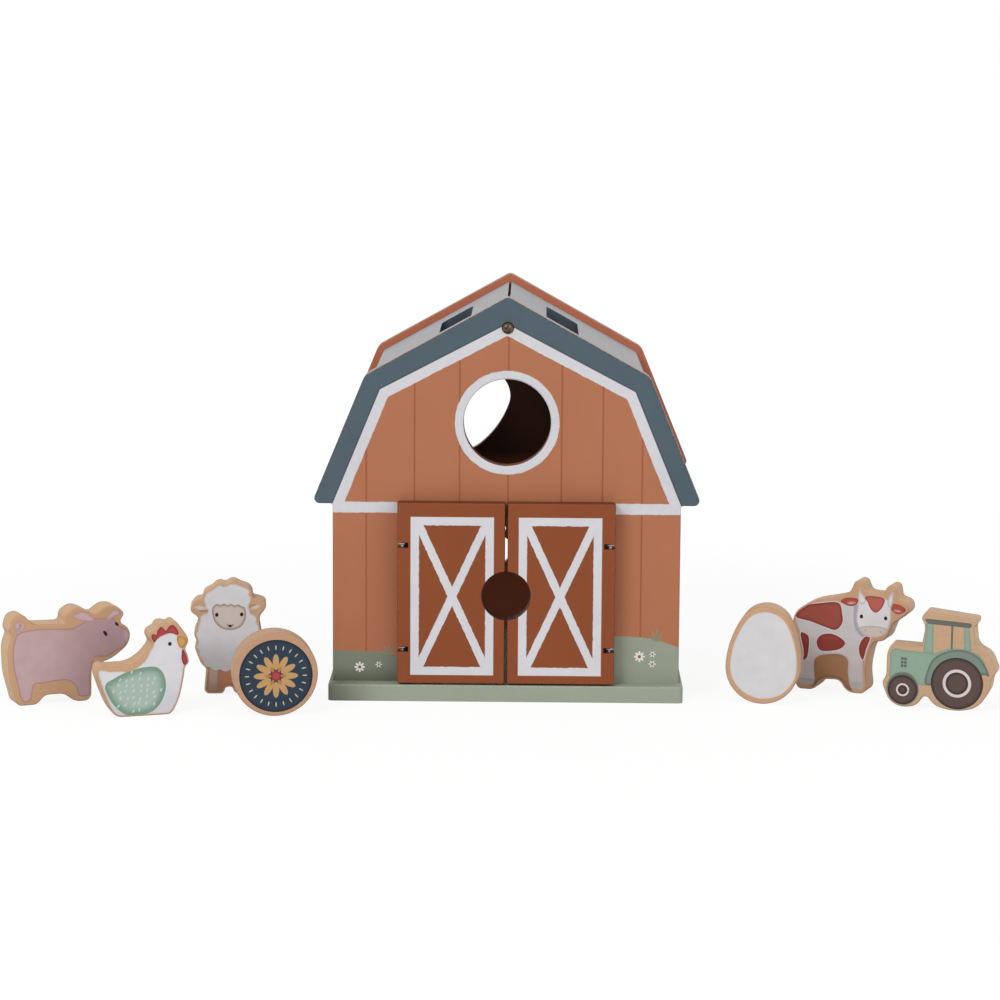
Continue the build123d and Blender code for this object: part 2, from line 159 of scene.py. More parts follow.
floor_material = bpy.data.materials.new("white_table")
floor_material.use_nodes = True
table = floor_material.node_tree
table.nodes.clear()
table_top = add(table, "ShaderNodeBsdfDiffuse", {"Color": (0.86, 0.86, 0.86, 1.0)})[0]
table_glow = add(table, "ShaderNodeEmission", {"Color": white, "Strength": 1.04})[0]
table_place = add(table, "ShaderNodeTexCoord")["Object"]
from_toys = add(table, "ShaderNodeVectorMath", {0: table_place}, operation="LENGTH")["Value"]
glow_share = add(table, "ShaderNodeMapRange", {
    "Value": from_toys, "From Min": 0.35, "From Max": 0.9, "To Min": 0.86, "To Max": 1.0,
})[0]
table_mix = add(table, "ShaderNodeMixShader", {
    0: shown_rays(table) * glow_share, 1: table_top, 2: table_glow,
})[0]
add(table, "ShaderNodeOutputMaterial", {"Surface": table_mix})
floor_mesh = bpy.data.meshes.new("table_top")
floor_mesh.from_pydata([(-9, -9, 0), (9, -9, 0), (9, 9, 0), (-9, 9, 0)], [], [(0, 1, 2, 3)])
floor_mesh.materials.append(floor_material)
floor = bpy.data.objects.new("table_top", floor_mesh)
bpy.context.collection.objects.link(floor)

for name, place, width, power in (
    ("key_light", (-1.3, -1.9, 1.9), 1.1, 31.0),
    ("fill_light", (1.7, -1.7, 1.0), 1.4, 12.0),
):
    lamp_data = bpy.data.lights.new(name, "AREA")
    lamp_data.size = width
    lamp_data.energy = power
    lamp = bpy.data.objects.new(name, lamp_data)
    lamp.location = place
    lamp.rotation_euler = (Vector((0, 0, 0.1)) - Vector(place)).to_track_quat("-Z", "Y").to_euler()
    bpy.context.collection.objects.link(lamp)


# Base board: a plank of fibreboard in sage green satin paint, with its corners
# and top edge rounded over. The paint shows a faint mottle and wears at the rim,
# and painted shade darkens the board towards its left end.
def ramp(value, low, high):
    """0 before low, 1 past high, smooth between. Low may be the greater of the two."""
    return add(value.tree, "ShaderNodeMapRange", {"Value": value, "From Min": low, "From Max": high},
               interpolation_type="SMOOTHSTEP")["Result"]


def blend(share, first, second):
    """First colour at share 0, second at share 1."""
    return add(share.tree, "ShaderNodeMix", {0: share, 6: first, 7: second}, data_type="RGBA")[2]


def scaled(vector, factor):
    """The vector or colour times a number."""
    return add(vector.tree, "ShaderNodeVectorMath", {0: vector, "Scale": factor}, operation="SCALE")[0]


def noise(place, cells, detail=2.0):
    """Noise from 0 to 1 with this many cells per millimetre, alike or along each axis."""
    cells = cells if isinstance(cells, tuple) else (cells, cells, cells)
    stretched = add(place.tree, "ShaderNodeVectorMath", {0: place, 1: cells}, operation="MULTIPLY")[0]
    return add(place.tree, "ShaderNodeTexNoise", {"Vector": stretched, "Scale": 1.0, "Detail": detail})["Fac"]


def split(vector):
    """The three parts of a vector."""
    return add(vector.tree, "ShaderNodeSeparateXYZ", {0: vector})


COLOUR = "NodeSocketColor"
NUMBER = "NodeSocketFloat"
VECTOR = "NodeSocketVector"
SURFACE = {"Colour": COLOUR, "Roughness": NUMBER, "Height": NUMBER}


def start_group(name, inputs, outputs=SURFACE):
    """Empty shader group and its given sockets."""
    tree = bpy.data.node_groups.new(name, "ShaderNodeTree")
    for label, kind in inputs.items():
        tree.interface.new_socket(label, in_out="INPUT", socket_type=kind)
    for label, kind in outputs.items():
        tree.interface.new_socket(label, in_out="OUTPUT", socket_type=kind)
    return tree, add(tree, "NodeGroupInput")


satin_paint, given = start_group("satin_paint", {"Colour": COLOUR, "Place": VECTOR, "Worn": NUMBER})
broad = noise(given["Place"], 0.03, 3.0)
fine = noise(given["Place"], 0.9, 3.0)
rubbed = given["Worn"] * ramp(fine, 0.4, 0.62)
toned = scaled(given["Colour"], broad * 0.14 + fine * 0.05 + 0.905)
add(satin_paint, "NodeGroupOutput", {
    "Colour": blend(rubbed * 0.28, toned, linear(222, 208, 190)),
    "Roughness": fine * 0.16 + rubbed * 0.15 + 0.46,
    "Height": broad * 2.0 + noise(given["Place"], 1.6, 1.0),
})


def use_group(group, **inputs):
    """Outputs of a shader group."""
    labelled = {label.replace("_", " "): value for label, value in inputs.items()}
    return add(tree_of(inputs.values()), "ShaderNodeGroup", labelled, node_tree=group)


def start_material(name):
    """Empty material, its place in millimetres and its surface direction."""
    material = bpy.data.materials.new(name)
    material.use_nodes = True
    material.node_tree.nodes.clear()
    coordinates = add(material.node_tree, "ShaderNodeTexCoord")
    return material, scaled(coordinates["Object"], 1000.0), coordinates["Normal"]


def finish_material(colour, roughness, height, depth, **constants):
    """Principled surface with a bump of the given depth in millimetres."""
    tree = height.tree
    bump = add(tree, "ShaderNodeBump", {"Height": height, "Distance": depth / 1000, "Strength": 0.6})[0]
    values = {"Base Color": colour, "Roughness": roughness, "Normal": bump}
    values.update({label.replace("_", " "): value for label, value in constants.items()})
    add(tree, "ShaderNodeOutputMaterial", {"Surface": add(tree, "ShaderNodeBsdfPrincipled", values)[0]})


def finish_paint(place, colour, worn):
    """Satin paint in the given colour."""
    paint = use_group(satin_paint, Colour=colour, Place=place, Worn=worn)
    finish_material(paint["Colour"], paint["Roughness"], paint["Height"], 0.05, Specular_IOR_Level=0.2)


def dress(name, material):
    """Gives a node its material."""
    node = nodes[name]
    node.data.materials.clear()
    node.data.materials.append(material)


base_half_width = 97.8
base_half_depth = 94.0
base_top = 9.2
base_paint, place, _ = start_material("sage_satin_paint")
across, along, height = split(place)
edge = highest(ramp(abs(across), base_half_width - 0.9, base_half_width - 0.1),
               ramp(abs(along), base_half_depth - 0.9, base_half_depth - 0.1))
# painted shade: the board darkens towards its left end
painted_shade_left_end = ramp(across, -64.0, -98.0) * 0.5
finish_paint(place, blend(painted_shade_left_end, linear(154, 163, 147), linear(84, 87, 72)),
             edge * ramp(height, base_top - 1.2, base_top - 0.2))
dress("base_plate", base_paint)


# Front and back walls: terracotta satin paint with the trim printed on the
# outer face: dark plank lines, white trim and beam, a blue-grey verge under the
# roof line, and a low green hill. The roof-side edges are left pale. Painted
# shade darkens the hill towards the ground at one end, and the inner faces
# towards the roof.
terracotta = linear(177, 115, 84)
terracotta_streak = linear(171, 109, 78)
plank_line_colour = linear(146, 76, 48)
hill_green = linear(145, 153, 136)
cut_edge = linear(128, 76, 52)
inside_low = linear(180, 105, 78)
# painted shade for the inner faces high up under the roof
inside_painted_shade = linear(66, 38, 28)

apex_height = 223.0
kink_half_width = 78.1
kink_height = 179.5
upper_roof_out = (0.4866, 0.8736)
lower_roof_out = (0.925, 0.380)
verge_out = (0.4635, 0.8862)
verge_ridge = 208.0
verge_width = 10.7
trim_width = 5.65
beam = (103.5, 109.5)
beside_doors = 56.2
window_height = 153.8
ring_radius = 28.6
hill_scale = 50.0
hill_ends = ((0.0, 0.54), (1.0, 0.57))
hill_spots = ((0.03, 0.528), (0.12, 0.518), (0.17, 0.504), (0.2, 0.478), (0.5, 0.62), (0.8, 0.707),
              (0.9, 0.682), (0.98, 0.588))


def line_at(value, middle, half_width, softness=0.3):
    """1 where the value lies within half_width of the middle."""
    return ramp(abs(value - middle), half_width + softness, half_width - softness)


def band(value, low, high, softness=0.25):
    """1 where the value lies between low and high."""
    return line_at(value, (low + high) / 2, (high - low) / 2, softness)


def wobble(place, size):
    """Small hand-painted waver in millimetres, from about minus to plus half the size."""
    return (noise(place, 0.35) - 0.5) * (size * 2.2)


def distance_from(across, height, middle_height):
    """Distance of a place on the wall from a middle on the barn's centre line."""
    return calc("SQRT", calc("POWER", across, 2.0) + calc("POWER", height - middle_height, 2.0))


def gable_paint(name, facing, plank_lines, with_window):
    """Wall paint with the print on the side that faces out."""
    material, place, direction = start_material(name)
    across, _, height = split(place)
    outward = split(direction)[1] * facing
    side = abs(across)
    from_upper = (apex_height - height) * upper_roof_out[1] - side * upper_roof_out[0]
    from_lower = (kink_half_width - side) * lower_roof_out[0] + (kink_height - height) * lower_roof_out[1]
    from_edge = calc("MINIMUM", from_upper, from_lower)
    under_ridge = (verge_ridge - height) * verge_out[1] - abs(across + 0.4) * verge_out[0]
    from_verge = calc("MINIMUM", under_ridge, from_lower - verge_width)
    waver = wobble(place, 0.35)

    colour = blend(noise(place, (0.05, 0.05, 0.012)), terracotta, terracotta_streak)
    lines = highest(*[line_at(across, plank_line, 0.42, 0.25) for plank_line in plank_lines])
    colour = blend(lines * 0.75, colour, plank_line_colour)

    hill_top = add(place.tree, "ShaderNodeFloatCurve", {"Value": across * 0.005 + 0.5})
    mapping = hill_top.node.mapping
    for point, spot in zip(mapping.curves[0].points, hill_ends):
        point.location = spot
    for spot in hill_spots:
        mapping.curves[0].points.new(*spot)
    mapping.update()
    hill = ramp(height - hill_top[0] * hill_scale + waver, 0.25, -0.25)
    meadow = blend(noise(place, (0.08, 0.08, 0.16), 3.0), hill_green, linear(152, 160, 143))
    # painted shade: the hill darkens towards the ground at one end of the wall
    painted_shade_hill = (ramp(height, 20.0, 7.0) * 0.36 + 0.38) * ramp(across * facing, 0.0, 55.0)
    colour = blend(hill, colour, blend(painted_shade_hill, meadow, linear(66, 70, 56)))

    border = ramp(from_verge, -0.2, 0.2) * ramp(from_verge + waver, trim_width + 0.2, trim_width - 0.2)
    border = border * ramp(height, beam[0] - 0.1, beam[0] + 0.3)
    beams = band(height + waver, *beam) * ramp(side, beside_doors - 0.2, beside_doors + 0.2)
    trim = highest(border, beams)
    if with_window:
        from_middle = distance_from(side, height, window_height)
        trim = highest(trim, ramp(from_middle + waver, ring_radius + 0.25, ring_radius - 0.25))
    colour = blend(trim, colour, blend(noise(place, 0.25, 3.0), linear(212, 212, 217), linear(203, 203, 209)))

    verge = ramp(from_verge, 0.2, -0.2) * ramp(height, 108.2, 108.5)
    blue_grey = blend(noise(place, 0.06), linear(74, 90, 100), linear(82, 96, 105))
    seam = highest(line_at(from_verge, -0.45, 0.35), line_at(from_edge, 0.5, 0.4))
    colour = blend(verge, colour, blend(seam * 0.6, blue_grey, linear(58, 70, 82)))

    roof_edge = ramp(from_edge, 2.5, 1.5) * ramp(height, 109.5, 111.5)
    bare = blend(roof_edge, cut_edge, linear(180, 160, 154))
    # painted shade: the inner faces darken towards the roof
    in_shade = ramp(height, 96.0, 118.0) * ramp(from_edge, 8.5, 11.0)
    bare = blend(ramp(outward, -0.25, -0.6), bare, blend(in_shade, inside_low, inside_painted_shade))
    colour = blend(ramp(outward, 0.25, 0.6), bare, colour)
    finish_paint(place, colour, ramp(from_edge, 1.1, 0.3) * 0.5)
    return material


planks = (-77.2, -50.7, -26.0, 0.6, 29.9, 52.5, 74.2)
dress("front_gable", gable_paint("front_wall_paint", -1.0, planks, True))
dress("back_gable", gable_paint("back_wall_paint", 1.0, [-line for line in planks], False))


# Daisies and grass printed on the hill of the front wall in off-white, brown and
# grey-green ink. The films stand about a tenth of a millimetre off the paint.
def smooth_loop(points, steps=5):
    """Closed smooth curve through the points."""
    points = np.array(points, dtype=float)
    before = np.roll(points, 1, axis=0)
    after = np.roll(points, -1, axis=0)
    later = np.roll(points, -2, axis=0)
    rows = []
    for step in range(steps):
        t = step / steps
        rows.append(0.5 * (2 * points + (after - before) * t
                           + (2 * before - 5 * points + 4 * after - later) * t**2
                           + (3 * points - before - 3 * after + later) * t**3))
    return np.stack(rows, axis=1).reshape(-1, 2)


def oval(across, up, wide, tall, turn=0.0, count=28):
    """Ellipse of the given half sizes."""
    angles = np.linspace(0.0, 2 * math.pi, count, endpoint=False)
    ring = np.stack([wide * np.cos(angles), tall * np.sin(angles)], axis=1)
    c, s = math.cos(math.radians(turn)), math.sin(math.radians(turn))
    return ring @ np.array([[c, s], [-s, c]]) + (across, up)


def edge_distance(points, starts, ends):
    """Distance of each point to the nearest of the line pieces."""
    run = ends - starts
    share = np.einsum("pij,ij->pi", points[:, None] - starts, run) / np.maximum((run**2).sum(axis=1), 1e-9)
    nearest = starts + np.clip(share, 0.0, 1.0)[..., None] * run
    return np.sqrt(((points[:, None] - nearest) ** 2).sum(axis=2)).min(axis=1)


def anticlockwise(loop):
    """The loop, turned round if it runs clockwise."""
    after = np.roll(loop, -1, axis=0)
    area = (loop[:, 0] * after[:, 1] - after[:, 0] * loop[:, 1]).sum()
    return loop if area > 0 else loop[::-1]


def ink_film(outline, level, ink, allowed=None, spacing=1.3):
    """Closed thin film inside an outline, as points, faces, distances from its rim, and its ink."""
    loops = [anticlockwise(np.array(loop, dtype=float)) for loop in (outline, allowed) if loop is not None]
    low, high = loops[0].min(axis=0), loops[0].max(axis=0)
    columns = np.arange(low[0] + spacing / 2, high[0], spacing)
    rows = np.arange(low[1] + spacing / 2, high[1], spacing * 0.87)
    grid = [(u + (spacing / 2 if k % 2 else 0.0), v) for k, v in enumerate(rows) for u in columns]
    points = [Vector(p) for p in np.concatenate([*loops, np.array(grid).reshape(-1, 2)])]
    starts = np.cumsum([0] + [len(loop) for loop in loops])
    rings = [list(range(start, start + len(loop))) for start, loop in zip(starts, loops)]
    found, _, triangles, _, _, origins = delaunay_2d_cdt(points, [], rings, 0, 1e-4, True)
    kept = [t for t, origin in zip(triangles, origins) if len(set(origin)) == len(loops)]
    used = sorted({index for t in kept for index in t})
    renumber = {index: k for k, index in enumerate(used)}
    flat = np.array([found[index] for index in used])
    kept = [[renumber[index] for index in t] for t in kept]
    sides = {pair for t in kept for pair in zip(t, t[1:] + t[:1])}
    border = [(a, b) for a, b in sides if (b, a) not in sides]
    rim = edge_distance(flat, flat[[a for a, _ in border]], flat[[b for _, b in border]])
    count = len(flat)
    front = np.stack([flat[:, 0], np.full(count, -level), flat[:, 1]], axis=1)
    back = np.stack([flat[:, 0], np.full(count, 0.02), flat[:, 1]], axis=1)
    faces = kept + [[index + count for index in reversed(t)] for t in kept]
    faces += [[b, a, a + count, b + count] for a, b in border]
    return np.concatenate([front, back]), faces, np.concatenate([rim, rim]), ink


def ink_mesh(name, films, body, settle):
    """One object from several films. settle turns their millimetres into the barn's millimetres."""
    points, faces, rims, inks = [], [], [], []
    materials = list(dict.fromkeys(film[3] for film in films))
    for film_points, film_faces, film_rim, film_ink in films:
        base = sum(len(block) for block in points)
        points.append(settle(film_points))
        faces += [[index + base for index in face] for face in film_faces]
        rims.append(film_rim)
        inks += [materials.index(film_ink)] * len(film_faces)
    mesh = bpy.data.meshes.new(name)
    mesh.from_pydata((np.concatenate(points) / 1000).tolist(), [], faces)
    for material in materials:
        mesh.materials.append(material)
    mesh.polygons.foreach_set("material_index", inks)
    rim = mesh.attributes.new("rim", "FLOAT", "POINT")
    rim.data.foreach_set("value", np.concatenate(rims).astype(np.float32))
    mesh.update()
    piece = bpy.data.objects.new(name, mesh)
    bpy.context.collection.objects.link(piece)
    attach(piece, body)


printed_ink, given = start_group(
    "printed_ink", {"Middle": COLOUR, "Rim Colour": COLOUR, "Rim": NUMBER, "Reach": NUMBER, "Place": VECTOR},
)
colour = blend(ramp(given["Rim"] / given["Reach"], 0.0, 1.0), given["Rim Colour"], given["Middle"])
cloud = noise(given["Place"], 0.14, 3.0)
grain = noise(given["Place"], 1.5, 3.0)
add(printed_ink, "NodeGroupOutput", {
    "Colour": scaled(colour, cloud * 0.18 + grain * 0.07 + 0.875),
    "Roughness": grain * 0.14 + 0.46,
    "Height": cloud * 0.5 + grain,
})


def ink(name, middle, rim=None, reach=2.0, shade=None):
    """Printed ink that turns from its rim colour to its middle colour over a distance in millimetres.

    shade gives another middle colour, the axis along which it comes in, and where it starts and is full.
    """
    material, place, _ = start_material(name)
    main = linear(*middle)
    if shade:
        other, axis, start, full = shade
        main = blend(ramp(split(place)[axis], start, full), main, linear(*other))
    distance = add(place.tree, "ShaderNodeAttribute", attribute_name="rim")["Fac"]
    paint = use_group(printed_ink, Middle=main, Rim_Colour=linear(*(rim or middle)),
                      Rim=distance, Reach=reach, Place=place)
    finish_material(paint["Colour"], paint["Roughness"], paint["Height"], 0.02, Specular_IOR_Level=0.25)
    return material


def start_growth(name, numbers, counts):
    """Empty geometry tree with named inputs, and what it is given."""
    tree = bpy.data.node_groups.new(name, "GeometryNodeTree")
    tree.interface.new_socket("Geometry", in_out="OUTPUT", socket_type="NodeSocketGeometry")
    for label in numbers:
        tree.interface.new_socket(label, in_out="INPUT", socket_type=NUMBER)
    for label in counts:
        tree.interface.new_socket(label, in_out="INPUT", socket_type="NodeSocketInt")
    tree.interface.new_socket("Middle", in_out="INPUT", socket_type=VECTOR)
    tree.interface.new_socket("Ink", in_out="INPUT", socket_type="NodeSocketMaterial")
    return tree, add(tree, "NodeGroupInput")


def finish_growth(tree, given, spots, corners, turn):
    """Puts a flat oval on each spot, stands them all upright and gives them their ink."""
    disc = add(tree, "GeometryNodeMeshCylinder", {
        "Vertices": corners, "Radius": 1.0, "Depth": given["Thickness"],
    })["Mesh"]
    size = add(tree, "ShaderNodeCombineXYZ", {0: given["Length"], 1: given["Width"], 2: 1.0})[0]
    shaped = add(tree, "GeometryNodeTransform", {"Geometry": disc, "Scale": size})[0]
    spin = add(tree, "ShaderNodeCombineXYZ", {2: turn})[0]
    placed = add(tree, "GeometryNodeInstanceOnPoints", {
        "Points": spots, "Instance": shaped, "Rotation": spin,
    })[0]
    upright = add(tree, "GeometryNodeTransform", {
        "Geometry": placed, "Translation": given["Middle"], "Rotation": (math.pi / 2, 0.0, 0.0),
    })[0]
    real = add(tree, "GeometryNodeRealizeInstances", {0: upright})[0]
    inked = add(tree, "GeometryNodeSetMaterial", {"Geometry": real, "Material": given["Ink"]})[0]
    add(tree, "NodeGroupOutput", {0: inked})


petal_ring, given = start_growth("petal_ring", ("Ring Radius", "Length", "Width", "Thickness"), ("Petals",))
ring = add(petal_ring, "GeometryNodeMeshCircle", {
    "Vertices": given["Petals"], "Radius": given["Ring Radius"],
})["Mesh"]
step = 2 * math.pi / given["Petals"]
finish_growth(petal_ring, given, ring, 14, add(petal_ring, "GeometryNodeInputIndex")[0] * step)


def grown_film(tree, ink, **values):
    """Film that a geometry tree makes with the given named values."""
    holder = bpy.data.objects.new("holder", bpy.data.meshes.new("holder"))
    bpy.context.collection.objects.link(holder)
    modifier = holder.modifiers.new("grow", "NODES")
    modifier.node_group = tree
    for item in tree.interface.items_tree:
        if item.item_type == "SOCKET" and item.in_out == "INPUT":
            modifier[item.identifier] = {**values, "Ink": ink}[item.name.replace(" ", "_")]
    settled = holder.evaluated_get(bpy.context.evaluated_depsgraph_get())
    mesh = bpy.data.meshes.new_from_object(settled)
    bpy.data.objects.remove(holder)
    points = np.array([vertex.co for vertex in mesh.vertices]) * 1000
    return points, [list(face.vertices) for face in mesh.polygons], np.ones(len(points)), ink


def petals(count, ring_radius, half_length, half_width, middle, ink, thickness=0.2):
    """Ring of petals round a middle given across and up, in millimetres."""
    return grown_film(petal_ring, ink, Petals=count, Ring_Radius=ring_radius / 1000,
                      Length=half_length / 1000, Width=half_width / 1000, Thickness=thickness / 1000,
                      Middle=(middle[0] / 1000, 0.0, middle[1] / 1000))


def grass_blade(across, height, size, lean, length, half_width):
    """Outline of one blade that leans by an angle in radians."""
    tip = np.array([across + size * length * math.sin(lean), height + size * length * math.cos(lean)])
    root = np.array([across + lean * 1.2, height - 0.5])
    aside = np.array([(tip - root)[1], -(tip - root)[0]]) / np.hypot(*(tip - root)) * half_width * size
    belly = root * 0.55 + tip * 0.45
    return [root + aside * 0.6, belly + aside * 0.7, tip, belly - aside * 0.7, root - aside * 0.6]


daisy_white = ink("daisy_white_ink", (226, 224, 222))
daisy_eye = ink("daisy_eye_ink", (150, 96, 70))
grass_ink = ink("grass_ink", (120, 131, 112), (130, 140, 121), 0.5)
daisies = ((-80.8, 17.0, 3.0), (-70.3, 18.5, 1.8), (73.9, 24.1, 3.1), (81.1, 25.5, 1.8), (81.0, 20.0, 2.1))
tufts = ((-65.3, 24.2), (82.8, 33.2))
blades = ((-0.9, 5.2, 0.6), (-0.35, 8.0, 0.65), (0.1, 9.0, 0.65), (0.6, 6.8, 0.65), (1.1, 4.6, 0.55))
wall_front = -84.0
films = []
for across, height, radius in daisies:
    count = 8 if radius > 2.5 else 6
    films.append(petals(count, radius * 0.62, radius * 0.38, radius * 0.2, (across, height), daisy_white))
    eye = oval(across, height, radius * 0.3, radius * 0.3, count=14)
    films.append(ink_film(eye, 0.12, daisy_eye, None, 0.4))
for across, height in tufts:
    for blade in blades:
        films.append(ink_film(grass_blade(across, height, 0.95, *blade), 0.03, grass_ink, None, 1.5))
ink_mesh("wall_flowers", films, "barn", lambda points: points + (0.0, wall_front, 0.0))


# Side walls: the same terracotta paint with plank lines and the hill running
# on outside, plain inside, where painted shade darkens it towards the roof. The
# cut-outs' edges are a shade darker.
half_plank = 12.5


def side_wall_paint(name, facing):
    """Paint of a side wall whose outer face looks along facing times X."""
    material, place, direction = start_material(name)
    _, along, height = split(place)
    outward = split(direction)[0] * facing
    colour = blend(noise(place, (0.05, 0.05, 0.012)), terracotta, terracotta_streak)
    in_plank = calc("PINGPONG", along + half_plank, half_plank)
    colour = blend(ramp(in_plank, 0.6, 0.2) * 0.75, colour, plank_line_colour)
    hill_line = noise(place, (0.0, 0.018, 0.0), 1.0) * 14.0 + 17.0
    colour = blend(ramp(height - hill_line, 0.25, -0.25), colour, hill_green)
    # painted shade: the inner face darkens towards the roof
    inner = blend(ramp(height, 96.0, 118.0), inside_low, inside_painted_shade)
    bare = blend(ramp(outward, -0.25, -0.6), cut_edge, inner)
    finish_paint(place, blend(ramp(outward, 0.25, 0.6), bare, colour), 0.0)
    return material


dress("left_side_wall", side_wall_paint("left_wall_paint", -1.0))
dress("right_side_wall", side_wall_paint("right_wall_paint", 1.0))


# Roof boards: light grey satin paint with fine grooves along the ridge. The
# hand slots' edges are painted dark blue-grey.
half_groove_spacing = 6.5
hand_slot = (20.0, 41.0)
hand_slot_half_length = 42.0
roof_paint, place, direction = start_material("light_grey_roof_paint")
across, along, _ = split(place)
side = abs(across)
grooves = ramp(calc("PINGPONG", side, half_groove_spacing), 0.45, 0.12)
grey = blend(noise(place, (0.1, 0.01, 0.1), 3.0), linear(175, 176, 179), linear(167, 168, 172))
grey = blend(grooves * 0.3, grey, linear(146, 146, 150))
by_slot = band(side, *hand_slot) * calc("LESS_THAN", abs(along), hand_slot_half_length)
slot_wall = by_slot * calc("LESS_THAN", abs(split(direction)[2]), 0.3)
finish_paint(place, blend(slot_wall, grey, linear(70, 82, 94)), 0.0)
for name in ("left_lower_roof", "right_lower_roof", "left_upper_roof", "right_upper_roof"):
    dress(name, roof_paint)


# Ridge rail and dowels: planed beech, left bare. The rail hangs under the ridge
# and the dowels sit inside the walls' joints.
bare_wood, given = start_group("bare_wood", {"Colour": COLOUR, "Place": VECTOR})
streaks = noise(given["Place"], (0.035, 0.5, 0.42), 4.0)
flecks = ramp(noise(given["Place"], (0.3, 3.2, 3.2)), 0.6, 0.72)
toned = scaled(given["Colour"], streaks * 0.3 + 0.85 - flecks * 0.07)
add(bare_wood, "NodeGroupOutput", {
    "Colour": blend(ramp(streaks, 0.5, 0.75) * 0.3, toned, linear(190, 134, 92)),
    "Roughness": streaks * 0.2 + 0.5,
    "Height": streaks - flecks,
})


def turned(vector, angle):
    """The vector turned about the upright axis."""
    return add(vector.tree, "ShaderNodeVectorRotate", {"Vector": vector, "Angle": angle},
               rotation_type="Z_AXIS")[0]


beech, place, _ = start_material("planed_beech")
wood = use_group(bare_wood, Colour=linear(206, 168, 126), Place=turned(place, math.pi / 2))
finish_material(wood["Colour"], wood["Roughness"], wood["Height"], 0.06)
dress("ridge_rail", beech)
dress("wall_dowels", beech)


# Screws, screw eyes and hinge rods: bronzed dome heads at the ridge, zinc-plated
# steel elsewhere, both faintly stained and scratched.
def metal(name, colour, stain):
    """Plated metal with stains and fine scratches."""
    material, place, _ = start_material(name)
    scratches = noise(place, (0.6, 6.0, 6.0))
    tinted = blend(ramp(noise(place, 0.7, 3.0), 0.35, 0.7), linear(*colour), linear(*stain))
    finish_material(tinted, scratches * 0.25 + 0.2, scratches, 0.01, Metallic=1.0)
    return material


dress("ridge_screws", metal("bronzed_steel", (112, 94, 80), (66, 50, 40)))
zinc = metal("zinc_plated_steel", (196, 198, 202), (160, 160, 162))
for name in ("base_screws", "screw_eyes", "left_hinge_rod", "right_hinge_rod"):
    dress(name, zinc)


# Doors: planks in a deeper brown satin paint. Painted shade darkens their top
# sides, the finger hole's walls and the edges where they meet. The white frame and
# crossed braces on the front of each are painted by hand, so their edges waver slightly.
door_middle = (29.6, 58.9)
frame_half_width = 22.8
frame_half_height = 44.0
frame_bar = 4.6
brace_half_width = 2.2
brace_slope = math.atan2(39.4, 18.2)
finger_hole_height = 59.4
finger_hole_radius = 13.4


def door_paint(name, facing):
    """Paint of the door on the side given by the sign of facing."""
    material, place, direction = start_material(name)
    across, _, height = split(place)
    facing_x, facing_y, facing_z = split(direction)
    off_across = abs(across - facing * door_middle[0])
    off_up = abs(height - door_middle[1])
    waver = wobble(place, 0.4)
    past_frame = highest(off_across - frame_half_width, off_up - frame_half_height)
    inside_frame = ramp(past_frame, 0.2, -0.2)
    frame_band = inside_frame * ramp(past_frame + waver, -frame_bar - 0.2, -frame_bar + 0.2)
    from_brace = abs(off_across * math.sin(brace_slope) - off_up * math.cos(brace_slope))
    brace = ramp(from_brace + waver, brace_half_width + 0.2, brace_half_width - 0.2)
    white = highest(frame_band, brace * inside_frame) * ramp(facing_y * -1.0, 0.6, 0.9)
    brown = blend(noise(place, (0.045, 0.045, 0.02), 3.0), linear(142, 76, 43), linear(134, 70, 38))
    brown = blend(noise(place, (0.9, 0.9, 0.06), 3.0) * 0.2, brown, linear(120, 62, 32))
    # painted shade: the upward-facing sides are a darker brown
    brown = blend(ramp(facing_z, 0.5, 0.9) * 0.75, brown, linear(96, 48, 26))
    dry_brush = blend(noise(place, 0.25, 3.0), linear(216, 216, 220), linear(206, 206, 212))
    from_hole = distance_from(abs(across), height, finger_hole_height)
    past_hole = ramp(from_hole, finger_hole_radius + 0.05, finger_hole_radius + 0.4)
    past_gap = ramp(abs(across), 0.75, 1.0)
    # painted shade: the finger hole's walls and the meeting edges are near black-brown
    colour = blend(past_hole * past_gap, linear(56, 24, 14), blend(white, brown, dry_brush))
    steepest = highest(abs(facing_x), abs(facing_y), abs(facing_z))
    finish_paint(place, colour, ramp(steepest, 0.98, 0.9) * 0.15)
    return material


dress("left_door", door_paint("left_door_paint", -1.0))
dress("right_door", door_paint("right_door_paint", 1.0))


# Pig block: solid beech, 15 mm thick, with rounded edges darkened by painted
# shade. The pink pig is printed on the front face, with bare wood round it.
def stroke(points, width):
    """Outline of a brush stroke of the given width along the points."""
    points = np.array(points, dtype=float)
    along = np.gradient(points, axis=0)
    aside = np.stack([along[:, 1], -along[:, 0]], axis=1) / np.linalg.norm(along, axis=1)[:, None]
    return np.concatenate([points + aside * width / 2, (points - aside * width / 2)[::-1]])


def block_axes(across, along, turn):
    """Where a block's own frame lies in the barn's frame: its axes in rows, and its origin."""
    c, s = math.cos(math.radians(turn)), math.sin(math.radians(turn))
    return np.array([[c, s, 0.0], [-s, c, 0.0], [0.0, 0.0, 1.0]]), np.array([across, along, 0.0])


def flat_outline(name, axes, origin):
    """Border of a block's flat front face in the block's own frame, in millimetres."""
    shell = bmesh.new()
    shell.from_mesh(nodes[name].data)
    bmesh.ops.remove_doubles(shell, verts=shell.verts, dist=1e-6)
    spots = {vertex: (np.array(vertex.co) * 1000 - origin) @ axes.T for vertex in shell.verts}
    front = {face for face in shell.faces if all(abs(spots[vertex][1]) < 0.005 for vertex in face.verts)}
    neighbours = {}
    for edge in shell.edges:
        if sum(face in front for face in edge.link_faces) == 1:
            for vertex in edge.verts:
                neighbours.setdefault(vertex, []).append(edge.other_vert(vertex))
    first = next(iter(neighbours))
    loop, previous, current = [first], None, first
    while True:
        ahead = [vertex for vertex in neighbours[current] if vertex is not previous][0]
        if ahead is first:
            break
        loop.append(ahead)
        previous, current = current, ahead
    outline = np.array([spots[vertex][[0, 2]] for vertex in loop])
    shell.free()
    return outline


